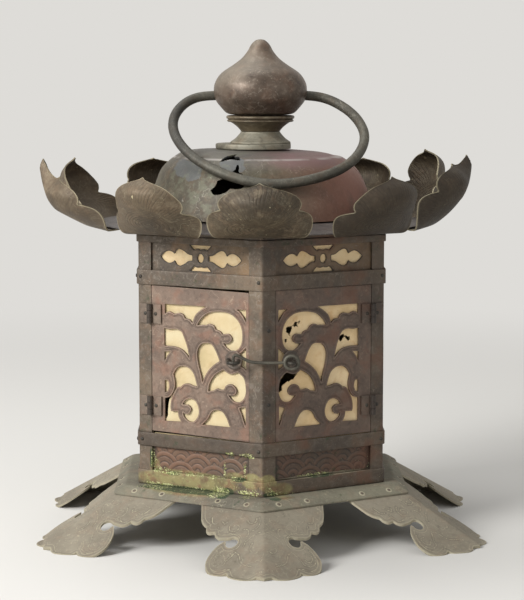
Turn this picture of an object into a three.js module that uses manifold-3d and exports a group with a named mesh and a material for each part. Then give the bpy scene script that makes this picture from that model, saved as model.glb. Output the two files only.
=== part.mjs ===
// A six-sided hanging temple lantern of sheet copper: a lotus roof with a jewel finial and a swinging bail,
// a body of corner posts and straps with two pierced doors, and a flared base on six scrolled feet.
// Millimetres, +Z up, with the origin on the ground under the middle. One corner of the body faces -Y,
// which is the front.
import * as THREE from 'three';
import { mergeVertices } from 'three/addons/utils/BufferGeometryUtils.js';
import Module from 'manifold-3d';

const wasm = await Module();
wasm.setup();

// Air between pieces
const seatGap = 0.3; // between two pieces that rest on each other
const turnGap = 0.3; // around what turns in another piece
const doorGap = 0.4; // around a door in its frame

// Body
const bodyAcrossFlats = 168.5; // over the straps
const strapThick = 1;
const postThick = 1.2;
const postLeg = 10; // width of a corner post on each face
const panelThick = 0.9;
const paperThick = 0.5;
const bottomBandHigh = 9.7;
const skirtHigh = 16.5; // what shows of the wave-pattern skirt
const lowerBandHigh = 9.1;
const doorwayHigh = 101;
const upperBandHigh = 9.9;
const friezeHigh = 18.6; // what shows of the frieze
const topBandHigh = 4.7;
const behindStrap = 2; // how far a wall panel reaches in behind the strap above or below it

// Doors, and the panels of the other faces, which have the same window
const doorThick = 1.2;
const hingeStile = 9.8;
const freeStile = 2;
const topRail = 12;
const bottomRail = 8.5;
const hingeHigh = 13;
const hingeLeafWide = 6.4;
const hingeLeafThick = 0.8;
const barrelRadius = 1.9;
const hingePinRadius = 0.8;
const lowerHingeUp = 19; // centre of the lower hinge above the doorway's sill
const upperHingeUp = 81.5;

// Latch
const latchUp = 54.5; // above the doorway's sill
const latchApart = 38.2; // between the two staples
const latchClear = 1.3; // between the front post's corner and the hook's wire
const rosetteRadius = 6.2;
const rosetteThick = 1;
const stapleWireRadius = 1;
const tipStapleHalf = 3.2; // half the width, between wire centres, of the staple that takes the hook's tip
const ringStapleHalf = 1.7;
const hookWireRadius = 0.9;
const hookRingRadius = 4.1;
const hookRise = 5;
const hookTipDown = 2.2; // how far the tip reaches below the staple's wire

// Base and feet
const footReach = 169; // from the axis to where the sloping underside of a foot's crease meets the ground
const footSlope = 0.5515; // fall per length along the crease
const footThick = 1.67; // measured upright
const footTip = 167;
const baseCorner = 107; // from the axis to the corner of the flat ledge
const baseRimCorner = 115.5; // from the axis to the corner of the sloping rim
const baseThick = 1.4;

// Roof
const seatHigh = 5.6; // of the seat ring between the walls and the brim
const seatWide = 10;
const seatSkirt = 9; // how far the seat ring reaches down inside the walls
const seatSkirtThick = 1.2;
const brimOuter = 114;
const brimInner = 72;
const brimSlope = 0.103;
const brimThick = 1;
const domeRadius = 79.6;
const domeHigh = 45.4;
const domeThick = 1.2;
const petalThick = 0.9;
const petalCount = 10;
const petalRootIn = 10; // how far a petal reaches in under the brim

// Finial and bail
const rodRadius = 3;
const stepRadius = 31;
const stepHigh = 3.2;
const bellHigh = 8.4;
const neckHigh = 7;
const neckRadius = 13.7; // where the bell meets the collar
const collarRadius = 24.3;
const collarHigh = 4;
const jewelRadius = 32.2;
const jewelHigh = 51.9;
const jewelWall = 1.6;
const rodHeadRadius = 7;
const rodHeadHigh = 3;
const nutRadius = 8;
const nutHigh = 5;
const rodTail = 3; // what shows of the rod under its nut
const bailPivotUp = 13.2; // above the jewel's foot
const bailRodRadius = 3.4;
const bailReach = 97.5;
const bailHalfWide = 65.5;
const bailLean = 5; // how far the hand-bent loop leans to the right
const bailEndReach = 24; // from the axis to where the bail's ends stop inside the jewel
// Its loop from end to end, in shares of its half width and of its reach
const bailLoop = [
  [-0.72, 0.01], [-0.85, 0.1], [-0.95, 0.24], [-0.97, 0.4], [-0.9, 0.56], [-0.76, 0.72], [-0.53, 0.865],
  [-0.27, 0.955], [0, 1], [0.25, 0.995], [0.52, 0.92], [0.76, 0.825], [0.94, 0.7], [1.03, 0.52], [1.04, 0.4],
  [0.94, 0.2], [0.8, 0.08], [0.68, 0.005],
];

// Inside
const dishRadius = 32;
const dishHigh = 14;
const dishWall = 1.5;
const dishFootRadius = 17;
const dishFootHigh = 8;

// Ornament, drawn as curves: a run of points is one smooth curve, and runs meet at corners
const patternWide = 64;
const patternHigh = 80;
// Openings of the vine, in a window with the hinges at x = 0 and the sill at y = 0
const vineOpenings = {
  aboveHingeLeaf: [
    [[0.5, 80], [33.5, 80]],
    [[29, 77.5], [24.5, 73.5], [22.5, 68]],
    [[20, 70.5], [16.5, 71]],
    [[15, 73.5], [12, 74.5], [8, 73.5]],
    [[6, 74.5], [3.5, 75], [0.5, 73]],
  ],
  underHingeLeaf: [
    [[0, 63.5], [4.5, 63], [9, 63.5], [13.5, 62], [16, 57.5], [18, 52.5], [20, 44]],
    [[16.5, 48], [12.5, 50.5], [7.5, 51.5], [3, 51.5], [0, 51.5]],
  ],
  hingeWedge: [
    [[0, 47.5], [5, 48]],
    [[2, 44.5], [0, 40.5]],
  ],
  hingeArch: [
    [[26, 25.5], [24.5, 30.5], [22.5, 35], [18.5, 38], [13.5, 38.5], [9.5, 36.5], [7, 32.5]],
    [[8, 28.5], [8, 23.5], [5.5, 18.5], [3, 16.5], [0, 16]],
    [[0, 0]],
    [[13, 0.5]],
    [[11, 4], [10.5, 7.5]],
    [[5, 7]],
    [[4.5, 10.5], [5.5, 16], [9, 22.5]],
    [[10.5, 24], [12.5, 24]],
    [[15.5, 26.5], [19, 27], [22.5, 26]],
  ],
  hingeCurlEye: [
    [[0, 28], [2.5, 28], [3.5, 24.5], [2.5, 21], [0, 19.5]],
  ],
  footScroll: [
    [[14, 12.5], [16.5, 15.5], [20.5, 17], [24.5, 15.5], [27, 10.5], [26.5, 5.5], [23, 1.5], [19, 1.5],
      [15.5, 4], [14.5, 7]],
    [[17.5, 6], [20, 7.5], [21, 10.5], [18.5, 12.5]],
  ],
  drop: [
    [[30, 28.5], [29, 33.5], [27, 40.5], [26, 47], [27, 51.5], [29.5, 54.5], [33, 55.5], [37, 55],
      [40, 51.5], [42, 47.5], [43.5, 44]],
    [[39.5, 41.5], [35, 37.5], [32, 33]],
  ],
  topScroll: [
    [[26, 67], [29.5, 72], [34.5, 75.5], [41, 77], [47.5, 77], [53, 75.5], [58, 71.5], [60.5, 66.5],
      [61, 61], [60, 56], [57, 52.5], [53, 51.5], [49.5, 53], [46, 56.5]],
    [[49, 56], [52, 57.5], [53, 60], [51, 62.5], [48, 62.5], [45.5, 62]],
    [[44, 64], [40.5, 65]],
    [[39, 67.5], [35.5, 68.5], [33, 67.5]],
    [[30, 67.5]],
  ],
  topCorner: [
    [[56, 79.5], [64, 79.5]],
    [[64, 71]],
    [[61.5, 75], [59, 78]],
  ],
  latchGap: [
    [[64, 54.5]],
    [[61.5, 52], [58.5, 49.5]],
    [[60.5, 45.5], [60, 41.5]],
    [[62.5, 40.5], [64, 39]],
  ],
  midScroll: [
    [[34.5, 23], [35.5, 28], [38.5, 33], [42, 36], [46.5, 38.5]],
    [[49.5, 36.5], [53, 36], [57.5, 37.5]],
    [[62, 34], [63.5, 28.5], [63.5, 23.5], [61.5, 19.5], [58, 17.5], [54, 18], [50, 22]],
    [[53, 21.5], [55.5, 22.5], [56.5, 25.5], [54, 28.5], [50.5, 29], [48, 27.5]],
    [[46.5, 25], [43.5, 25]],
    [[41.5, 25.5], [39, 24]],
  ],
  footArch: [
    [[29.5, 0], [34, 4], [37, 9], [41.5, 11], [45.5, 10], [48.5, 6.5], [51.5, 0]],
  ],
  footCorner: [
    [[58.5, 13.5], [63.5, 15]],
    [[63.5, 1.5]],
    [[62, 5], [60.5, 9.5]],
  ],
};
// Upper half of one side's double lobe in the frieze, from its far point to its blunt end beside the middle
const friezeLobe = [
  [[-31, 0], [-28.5, 2.6], [-25, 4.1], [-21.8, 3.4], [-20.2, 2.2]],
  [[-18.5, 4.9], [-16, 5.6], [-12.5, 4.2], [-9.5, 2.3], [-6.3, 1.8]],
];
// The cut above the frieze's middle
const friezeCap = [
  [[-8.3, 8.6], [8.3, 8.6]],
  [[5, 5.4]],
  [[0, 6.8], [-5, 5.4]],
];
const friezeEyeRadius = 2.4;
// One half of a foot in plan, from under the rim down to the cusp: [across from the crease, out from the axis]
const footOutline = [
  [[36.4, 101.5]],
  [[33.5, 110.5], [29.8, 118.5], [23.3, 124.6]],
];
const footHook = { across: 19.1, out: 130.4, radius: 3.6 };
const footScroll = [
  [[22.9, 127.3], [28.3, 130.2], [33.9, 136.8], [35.5, 142.5], [33, 148.7], [27.7, 152.8], [23.1, 153.9]],
  [[21.5, 158], [17.2, 161.9], [12, 164.3], [5.2, 164.4]],
];
// Rows of a petal from the brim's edge to its point: out from that edge, up from it, half the petal's width
const petalRows = [
  [11.5, 3, 31.5], [21, 8.3, 33.8], [29, 13.4, 33.8], [33, 17.4, 30], [34.4, 19, 25.3], [36, 23, 26.6],
  [34.8, 28.2, 23.4], [31.5, 32.3, 13.5], [28.2, 35.2, 3.2], [26.8, 36.6, 0.7],
];
const petalRootHalf = 24;
const petalCup = 23; // radius at the middle of the hollow across a petal, whose sides reach in
// Degrees that each petal stands up from the front one's set
const petalLean = [0, 6, 10, 20, 12, 12, 12, 11, -2, 10];

// Materials
function metal(color, roughness, metalness) {
  return new THREE.MeshStandardMaterial({ color, roughness, metalness });
}
const copperWall = metal(0x6f5a4c, 0.6, 0.75);
const copperDoor = metal(0x6b5245, 0.58, 0.75);
const roofCopper = metal(0x5f5045, 0.55, 0.8);
const petalCopper = metal(0x4d443a, 0.6, 0.75);
const finialCopper = metal(0x5d4c3e, 0.45, 0.85);
const darkIron = metal(0x35352f, 0.5, 0.8);
const dustyCopper = metal(0x7d7566, 0.75, 0.5);
const dullBronze = metal(0x6a5a3c, 0.5, 0.8);
const paper = new THREE.MeshStandardMaterial({ color: 0xd6c193, roughness: 0.9, metalness: 0 });

// Levels, from the ground up
const floorTop = footSlope * (footReach - baseCorner) + footThick + seatGap + baseThick;
const bottomBandFoot = floorTop + seatGap;
const bottomBandTop = bottomBandFoot + bottomBandHigh;
const lowerBandFoot = bottomBandTop + skirtHigh;
const sill = lowerBandFoot + lowerBandHigh;
const lintel = sill + doorwayHigh;
const upperBandTop = lintel + upperBandHigh;
const topBandFoot = upperBandTop + friezeHigh;
const wallTop = topBandFoot + topBandHigh;
const seatTop = wallTop + seatGap + seatHigh;
const brimAt = (radius) => seatTop + seatGap + brimThick + brimSlope * (toCorner(bodyAcrossFlats / 2) - radius);
const domeFoot = brimAt(brimInner) + seatGap;
const domeTop = domeFoot + domeHigh;
const stepTop = domeTop + seatGap + stepHigh;
const bellTop = stepTop + bellHigh;
const collarFoot = bellTop + seatGap;
const collarTop = collarFoot + neckHigh + collarHigh;
const jewelFoot = collarTop + seatGap;
const bailPivot = jewelFoot + bailPivotUp;
const latchLevel = sill + latchUp;

// Distances of the walls' outer sides from the axis, layer by layer inwards
const strapOuter = bodyAcrossFlats / 2;
const postOuter = strapOuter - strapThick - seatGap;
const wallOuter = postOuter - postThick - seatGap;
const liningOuter = wallOuter - panelThick - seatGap;
const doorOuter = postOuter;
const hingeAxisOuter = doorOuter + seatGap + barrelRadius;
const doorwayWide = 2 * (toCorner(postOuter) / 2 - postLeg);
const doorWide = doorwayWide - 2 * doorGap;
const doorHigh = doorwayHigh - 2 * doorGap;
const windowWide = doorWide - hingeStile - freeStile;
const windowHigh = doorHigh - topRail - bottomRail;
const rodHole = rodRadius + turnGap;
const latchOut = toCorner(postOuter) + latchClear + hookWireRadius; // of the hook's plane

// Distance from the axis to a corner of the hexagon whose flats are this far away
function toCorner(apothem) {
  return apothem / Math.cos(Math.PI / 6);
}

// Solids for joining and cutting
function toSolid(geometry) {
  const bare = geometry.clone();
  bare.deleteAttribute('normal');
  bare.deleteAttribute('uv');
  const merged = mergeVertices(bare, 1e-4);
  const vertProperties = new Float32Array(merged.attributes.position.array);
  const triVerts = new Uint32Array(merged.index.array);
  return new wasm.Manifold(new wasm.Mesh({ numProp: 3, vertProperties, triVerts }));
}

function toGeometry(solid) {
  const mesh = solid.getMesh();
  const geometry = new THREE.BufferGeometry();
  geometry.setAttribute('position', new THREE.BufferAttribute(new Float32Array(mesh.vertProperties), 3));
  geometry.setIndex(new THREE.BufferAttribute(new Uint32Array(mesh.triVerts), 1));
  return geometry;
}

function joined(...geometries) {
  return toGeometry(geometries.map(toSolid).reduce((sum, next) => sum.add(next)));
}

function cut(geometry, ...tools) {
  return toGeometry(tools.map(toSolid).reduce((rest, tool) => rest.subtract(tool), toSolid(geometry)));
}

// Points along runs of smooth curve that meet at corners
function outlinePoints(runs, stepsPerSpan) {
  const points = [runs[0][0]];
  for (const [index, run] of runs.entries()) {
    const through = index === 0 ? run : [points.at(-1), ...run];
    if (through.length > 1) {
      const curve = new THREE.SplineCurve(through.map(([x, y]) => new THREE.Vector2(x, y)));
      const steps = through.length === 2 ? 1 : (through.length - 1) * stepsPerSpan;
      points.push(...curve.getPoints(steps).slice(1).map((p) => [p.x, p.y]));
    }
  }
  return points;
}

function shapeOf(points) {
  return new THREE.Shape(points.map(([x, y]) => new THREE.Vector2(x, y)));
}

function extruded(shape, depth) {
  return new THREE.ExtrudeGeometry(shape, { depth, bevelEnabled: false, curveSegments: 12 });
}

// A plate that stands in the front wall: drawn as seen from outside, its outer side this far from the axis
function wallPlate(shape, thick, outer) {
  return extruded(shape, thick).rotateX(Math.PI / 2).translate(0, thick - outer, 0);
}

function rectangle(left, right, low, high) {
  return shapeOf([[left, low], [right, low], [right, high], [left, high]]);
}

function hexagonPoints(apothem) {
  return Array.from({ length: 6 }, (_, k) => {
    const angle = (k * Math.PI) / 3;
    return [toCorner(apothem) * Math.sin(angle), -toCorner(apothem) * Math.cos(angle)];
  });
}

// A straight hexagonal ring, from its outer side inwards
function hexRing(outer, thick, low, high) {
  const ring = shapeOf(hexagonPoints(outer));
  ring.holes.push(shapeOf(hexagonPoints(outer - thick)));
  return extruded(ring, high - low).translate(0, 0, low);
}

// A turned piece: the profile [radius, height] closes on itself or on the axis
function turned(profile, segments) {
  const closed = profile[0][0] === 0 ? profile : [...profile, profile[0]];
  const points = closed.map(([radius, height]) => new THREE.Vector2(radius, height));
  return new THREE.LatheGeometry(points, segments).rotateX(Math.PI / 2);
}

// A profile that goes up its outer side, given a wall: the same line set inwards comes back down
function shell(outerLine, wall) {
  const inner = outerLine.map(([radius, height], k) => {
    const [r0, h0] = outerLine[Math.max(k - 1, 0)];
    const [r1, h1] = outerLine[Math.min(k + 1, outerLine.length - 1)];
    const length = Math.hypot(r1 - r0, h1 - h0);
    return [radius - (wall * (h1 - h0)) / length, height + (wall * (r1 - r0)) / length];
  });
  inner[0][1] = outerLine[0][1];
  return [...outerLine, ...inner.reverse()];
}

function wireAlong(points, radius, steps) {
  const path = new THREE.CatmullRomCurve3(points.map((p) => new THREE.Vector3(...p)));
  const round = new THREE.Shape().absarc(0, 0, radius, 0, 2 * Math.PI);
  return new THREE.ExtrudeGeometry(round, { steps, bevelEnabled: false, extrudePath: path, curveSegments: 6 });
}

function rodBetween(radius, start, end, segments) {
  const from = new THREE.Vector3(...start);
  const to = new THREE.Vector3(...end);
  const rod = new THREE.CylinderGeometry(radius, radius, from.distanceTo(to), segments);
  const way = to.clone().sub(from).normalize();
  const turn = new THREE.Quaternion().setFromUnitVectors(new THREE.Vector3(0, 1, 0), way);
  const middle = from.add(to).multiplyScalar(0.5);
  return rod.applyQuaternion(turn).translate(middle.x, middle.y, middle.z);
}

// The scene graph
const lantern = new THREE.Group();

function sector(azimuth) {
  const group = new THREE.Group();
  group.rotation.z = THREE.MathUtils.degToRad(azimuth);
  lantern.add(group);
  return group;
}

function add(name, geometry, material, parent = lantern) {
  const mesh = new THREE.Mesh(geometry, material);
  mesh.name = name;
  parent.add(mesh);
  return mesh;
}

// Body frame
function cornerPost() {
  const corner = toCorner(postOuter);
  const along = [Math.cos(Math.PI / 6), Math.sin(Math.PI / 6)];
  const end = [postLeg * along[0], -corner + postLeg * along[1]];
  const innerEnd = [end[0] - postThick * along[1], end[1] + postThick * along[0]];
  const innerCorner = -toCorner(postOuter - postThick);
  const right = [[0, -corner], end, innerEnd, [0, innerCorner]];
  const left = [[-innerEnd[0], innerEnd[1]], [-end[0], end[1]]];
  return extruded(shapeOf([...right, ...left]), wallTop - bottomBandFoot).translate(0, 0, bottomBandFoot);
}

const cornerNames = ['front', 'front_right', 'back_right', 'back', 'back_left', 'front_left'];
cornerNames.forEach((name, k) => add(`corner_post_${name}`, cornerPost(), copperWall, sector(60 * k)));

add('bottom_band', hexRing(strapOuter, strapThick, bottomBandFoot, bottomBandTop), copperWall);
add('lower_band', hexRing(strapOuter, strapThick, lowerBandFoot, sill), copperWall);
add('upper_band', hexRing(strapOuter, strapThick, lintel, upperBandTop), copperWall);
add('top_band', hexRing(strapOuter, strapThick, topBandFoot, wallTop), copperWall);

const skirtTop = lowerBandFoot + behindStrap;
const panelTop = lintel + behindStrap;
add('wave_skirt', hexRing(wallOuter, panelThick, bottomBandFoot, skirtTop), copperWall);

// Frieze: a ring pierced with the same five cuts on every face
function friezeCuts() {
  const middle = (upperBandTop + topBandFoot) / 2;
  const mirrored = (points, signX, signY) => points.map(([x, y]) => [signX * x, signY * y]);
  const half = outlinePoints(friezeLobe, 1);
  const lobe = [...half, ...mirrored(half.slice(1), 1, -1).reverse()];
  const cap = outlinePoints(friezeCap, 2);
  const eye = new THREE.Path().absarc(0, 0, friezeEyeRadius, 0, 2 * Math.PI).getPoints(5).slice(1);
  const outlines = [lobe, mirrored(lobe, -1, 1), cap, mirrored(cap, 1, -1), eye.map((p) => [p.x, p.y])];
  return outlines.map((points) => wallPlate(shapeOf(points), 4 * panelThick, wallOuter + panelThick)
    .translate(0, 0, middle));
}

const friezeFoot = panelTop + seatGap;
const friezeTools = [30, 90, 150, 210, 270, 330].flatMap((azimuth) => friezeCuts()
  .map((tool) => tool.rotateZ(THREE.MathUtils.degToRad(azimuth))));
add('frieze', cut(hexRing(wallOuter, panelThick, friezeFoot, wallTop), ...friezeTools), copperWall);

// The pierced vine: a cutter for each opening, in a window with its hinge side at left and its sill at low
function vineCuts(left, low, flip, outer) {
  return Object.values(vineOpenings).map((runs) => {
    const placed = outlinePoints(runs, 1).map(([x, y]) => (
      [left + (x * windowWide) / patternWide, low + (y * windowHigh) / patternHigh]));
    return wallPlate(shapeOf(mirroredIf(flip, placed)), 3 * doorThick, outer + doorThick);
  });
}

function mirroredIf(flip, points) {
  return flip ? points.map(([x, y]) => [-x, y]) : points;
}

// Fixed panels on the four faces without a door
const panelHalf = toCorner(wallOuter - panelThick) / 2 - seatGap;
const windowLeft = hingeStile - doorWide / 2;
const windowSill = sill + doorGap + bottomRail;

function sidePanel() {
  const outline = rectangle(-panelHalf, panelHalf, skirtTop + seatGap, panelTop);
  const plate = wallPlate(outline, panelThick, wallOuter);
  return cut(plate, ...vineCuts(windowLeft, windowSill, false, wallOuter));
}

for (const [name, azimuth] of [['right', 90], ['back_right', 150], ['back_left', 210], ['left', 270]]) {
  add(`side_panel_${name}`, sidePanel(), copperWall, sector(azimuth));
}

// The paper lining: one ring, open behind the two doors
const doorwayCuts = [30, -30].map((azimuth) => {
  const hole = rectangle(-doorwayWide / 2, doorwayWide / 2, sill, lintel);
  return wallPlate(hole, 6 * paperThick, liningOuter + paperThick).rotateZ(THREE.MathUtils.degToRad(azimuth));
});
add('paper_lining', cut(hexRing(liningOuter, paperThick, lowerBandFoot, wallTop), ...doorwayCuts), paper);

// Doors: drawn for the left one, hinged at x = -doorWide / 2, and mirrored for the right one
function doorPlate(flip) {
  const low = sill + doorGap;
  const plate = wallPlate(rectangle(-doorWide / 2, doorWide / 2, low, low + doorHigh), doorThick, doorOuter);
  return cut(plate, ...vineCuts(windowLeft, windowSill, flip, doorOuter));
}

function doorPaper(flip) {
  const left = windowLeft - hingeStile / 2;
  const right = windowLeft + windowWide + freeStile / 2;
  const low = windowSill - bottomRail / 2;
  const high = windowSill + windowHigh + topRail / 2;
  const sheet = mirroredIf(flip, [[left, low], [right, low], [right, high], [left, high]]);
  return wallPlate(shapeOf(sheet), paperThick, doorOuter - doorThick - seatGap);
}

// Hinges: the door's leaf has the middle knuckle, the post's leaf the two outer ones and the pin
const knuckleHigh = (hingeHigh - 2 * turnGap) / 3;
const hingeAxisAcross = doorwayWide / 2;

function barrelPart(side, from, to, radius, segments) {
  const at = side * hingeAxisAcross;
  return rodBetween(radius, [at, -hingeAxisOuter, from], [at, -hingeAxisOuter, to], segments);
}

function leafPlate(side, towards, low, high) {
  const from = side * hingeAxisAcross;
  const to = from + towards * (hingeLeafWide + barrelRadius);
  const shape = rectangle(Math.min(from, to), Math.max(from, to), low, high);
  return wallPlate(shape, hingeLeafThick, doorOuter + seatGap + hingeLeafThick);
}

function doorLeaf(side, middle) {
  const low = middle - knuckleHigh / 2;
  const high = middle + knuckleHigh / 2;
  const bore = barrelPart(side, low - 1, high + 1, hingePinRadius + turnGap, 10);
  const half = hingeHigh / 2;
  const postSpans = [[middle - half - 1, low - turnGap], [high + turnGap, middle + half + 1]];
  const clearOfPost = postSpans.map(([from, to]) => barrelPart(side, from, to, barrelRadius + turnGap, 12));
  const knuckle = barrelPart(side, low, high, barrelRadius, 12);
  const plate = cut(leafPlate(side, -side, middle - half, middle + half), ...clearOfPost);
  return cut(joined(plate, knuckle), bore);
}

function postLeaf(side, middle) {
  const half = hingeHigh / 2;
  const knuckles = [[-half, -half + knuckleHigh], [half - knuckleHigh, half]].map(([from, to]) => (
    barrelPart(side, middle + from, middle + to, barrelRadius, 12)));
  const pin = barrelPart(side, middle - half, middle + half, hingePinRadius, 10);
  const gap = knuckleHigh / 2 + turnGap;
  const clearOfDoor = barrelPart(side, middle - gap, middle + gap, barrelRadius + turnGap, 12);
  const plate = cut(leafPlate(side, side, middle - half, middle + half), clearOfDoor);
  return joined(plate, ...knuckles, pin);
}

const doorSides = [['left', -30, -1], ['right', 30, 1]];
for (const [name, azimuth, side] of doorSides) {
  const group = sector(azimuth);
  add(`door_${name}`, doorPlate(side > 0), copperDoor, group);
  add(`door_paper_${name}`, doorPaper(side > 0), paper, group);
  for (const [place, up] of [['lower', lowerHingeUp], ['upper', upperHingeUp]]) {
    add(`hinge_door_leaf_${name}_${place}`, doorLeaf(side, sill + up), copperDoor, group);
    add(`hinge_post_leaf_${name}_${place}`, postLeaf(side, sill + up), copperWall, group);
  }
}

// Latch: each staple is a bent wire that stands straight forward from a rosette on its door
function staple(side, halfWidth, loopCentre) {
  const x = (side * latchApart) / 2;
  const tilt = Math.PI / 6;
  const rosetteFace = doorOuter + seatGap + rosetteThick;
  const across = (x - side * Math.sin(tilt) * rosetteFace) / Math.cos(tilt);
  const foot = -(rosetteFace * Math.cos(tilt) - side * across * Math.sin(tilt)) + rosetteThick / 2;
  const disc = new THREE.CylinderGeometry(rosetteRadius, rosetteRadius * 0.8, rosetteThick, 20);
  disc.translate(across, rosetteThick / 2 - rosetteFace, latchLevel).rotateZ(side * tilt);
  const legEnds = [-1, 1].map((leg) => [x + leg * halfWidth, foot + leg * side * halfWidth * Math.tan(tilt)]);
  const bow = Array.from({ length: 5 }, (_, k) => {
    const angle = (k * Math.PI) / 4;
    return [x - halfWidth * Math.cos(angle), -loopCentre - halfWidth * Math.sin(angle), latchLevel];
  });
  const straight = ([px], py) => [px, py, latchLevel];
  const [left, right] = legEnds;
  const path = [
    straight(left, left[1]), straight(left, (left[1] - loopCentre) / 2), ...bow,
    straight(right, (right[1] - loopCentre) / 2), straight(right, right[1]),
  ];
  return joined(disc, wireAlong(path, stapleWireRadius, 22));
}

const tipLoopCentre = latchOut + hookWireRadius + turnGap + stapleWireRadius - tipStapleHalf;
const ringLoopCentre = latchOut + 2 * hookWireRadius;
add('latch_staple_left', staple(-1, tipStapleHalf, tipLoopCentre), darkIron);
add('latch_staple_right', staple(1, ringStapleHalf, ringLoopCentre), darkIron);

function latchHook() {
  const tipX = -latchApart / 2;
  const ringX = latchApart / 2;
  const at = (x, up) => [x, -latchOut, latchLevel + up];
  const path = [
    at(ringX - hookRingRadius, 0), at(ringX - latchApart * 0.37, -0.2), at(ringX - latchApart * 0.68, 0.4),
    at(tipX + hookRise * 1.3, hookRise * 0.56), at(tipX + hookRise * 0.4, hookRise),
    at(tipX + hookRise * 0.04, hookRise * 0.8), at(tipX, hookRise * 0.3), at(tipX, -hookTipDown),
  ];
  const ring = new THREE.TorusGeometry(hookRingRadius, hookWireRadius, 8, 24);
  ring.rotateX(Math.PI / 2).translate(ringX, -latchOut, latchLevel);
  return joined(ring, wireAlong(path, hookWireRadius, 22));
}

add('latch_hook', latchHook(), darkIron);

// Base: a flat floor with a sloping six-sided rim, in one sheet
function basePlate() {
  const rimFall = footSlope * (baseRimCorner - baseCorner);
  const profile = [
    [0, floorTop - baseThick], [baseCorner, floorTop - baseThick],
    [baseRimCorner, floorTop - baseThick - rimFall], [baseRimCorner, floorTop - rimFall],
    [baseCorner, floorTop], [0, floorTop],
  ];
  return turned(profile, 6);
}

add('base_plate', basePlate(), dustyCopper);

// Feet: a creased sheet in the slope of the two faces beside its corner, cut flat where it stands
function footWing(side) {
  const root = baseCorner + seatGap;
  const rootSide = footOutline[0][0][0];
  const { across, out: along, radius } = footHook;
  const fromHook = ([x, out]) => Math.atan2(out - along, x - across);
  const inHook = fromHook(footOutline[1].at(-1));
  const outHook = fromHook(footScroll[0][0]);
  const hook = Array.from({ length: 8 }, (_, k) => {
    const angle = inHook - ((k + 1) * (2 * Math.PI - (outHook - inHook))) / 9;
    return [across + radius * Math.cos(angle), along + radius * Math.sin(angle)];
  });
  const points = [
    [0, root], [rootSide, root - rootSide * Math.tan(Math.PI / 6)],
    ...outlinePoints(footOutline, 2), ...hook, ...outlinePoints(footScroll, 1), [0, footTip],
  ];
  const wing = extruded(shapeOf(points.map(([x, out]) => [side * x, -out])), footThick);
  const places = wing.attributes.position;
  for (let k = 0; k < places.count; k += 1) {
    const corner = -places.getY(k) + Math.abs(places.getX(k)) * Math.tan(Math.PI / 6);
    places.setZ(k, places.getZ(k) + footSlope * (footReach - corner));
  }
  return wing;
}

function foot() {
  const ground = new THREE.BoxGeometry(footTip, 3 * footTip, footTip).translate(0, 0, -footTip / 2);
  return cut(joined(footWing(1), footWing(-1)), ground);
}

cornerNames.forEach((name, k) => add(`foot_${name}`, foot(), dustyCopper, sector(60 * k)));

// Roof
function roofSeat() {
  const outerCorner = toCorner(strapOuter - strapThick);
  const skirtCorner = toCorner(liningOuter - paperThick - seatGap);
  const profile = [
    [skirtCorner - seatSkirtThick, wallTop - seatSkirt], [skirtCorner, wallTop - seatSkirt],
    [skirtCorner, wallTop + seatGap], [outerCorner, wallTop + seatGap], [outerCorner, seatTop],
    [outerCorner - seatWide, seatTop], [skirtCorner - seatSkirtThick, wallTop + seatGap + seatSkirtThick],
  ];
  return turned(profile, 6);
}

function roofBrim() {
  const profile = [
    [brimInner, brimAt(brimInner) - brimThick], [brimOuter, brimAt(brimOuter) - brimThick],
    [brimOuter, brimAt(brimOuter)], [brimInner, brimAt(brimInner)],
  ];
  return turned(profile, 40);
}

const domeLine = [
  [1, 0], [0.967, 0.23], [0.917, 0.475], [0.888, 0.645], [0.855, 0.725], [0.8, 0.79], [0.735, 0.91],
  [0.64, 0.98], [0.4, 1],
].map(([out, up]) => [domeRadius * out, domeFoot + domeHigh * up]);

function roofDome() {
  return turned(shell([...domeLine, [rodHole, domeTop]], domeThick), 32);
}

add('roof_seat', roofSeat(), copperWall);
add('roof_brim', roofBrim(), roofCopper);
add('roof_dome', roofDome(), roofCopper);

// Petals: a thin sheet over a grid of rows and columns, closed all round
function petal(lean) {
  const edgeUp = brimAt(brimOuter) - brimThick - seatGap - petalThick;
  const rootOut = brimOuter - petalRootIn;
  const rootRows = [
    { out: rootOut, up: edgeUp + brimSlope * petalRootIn, half: petalRootHalf - 2, cup: 0 },
    { out: brimOuter, up: edgeUp, half: petalRootHalf, cup: 0 },
  ];
  const turn = THREE.MathUtils.degToRad(lean);
  const freeRows = petalRows.map(([reach, up, half], k) => {
    const angle = turn * Math.min(1, (k + 1) / 3);
    const rise = reach * Math.sin(angle) + up * Math.cos(angle);
    return {
      out: brimOuter + reach * Math.cos(angle) - up * Math.sin(angle), up: edgeUp + rise, half,
      cup: Math.min(1, (k + 1) / 4),
    };
  });
  const rows = [...rootRows, ...freeRows];
  const columns = [-1, -0.55, 0, 0.55, 1];
  const sides = [[], []];
  rows.forEach((row, k) => {
    const before = rows[Math.max(k - 1, 0)];
    const after = rows[Math.min(k + 1, rows.length - 1)];
    const length = Math.hypot(after.out - before.out, after.up - before.up);
    const inwards = [-(after.up - before.up) / length, (after.out - before.out) / length];
    for (const share of columns) {
      const x = row.half * share;
      const sag = (row.cup * x * x) / (2 * petalCup);
      const follow = (1 - row.cup) * brimSlope * (Math.hypot(row.out, x) - row.out);
      sides.forEach((points, layer) => {
        const off = layer * petalThick;
        points.push([x, sag - row.out - inwards[0] * off, row.up + inwards[1] * off - follow]);
      });
    }
  });
  return closedSheet(sides[0], sides[1], rows.length, columns.length);
}

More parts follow.
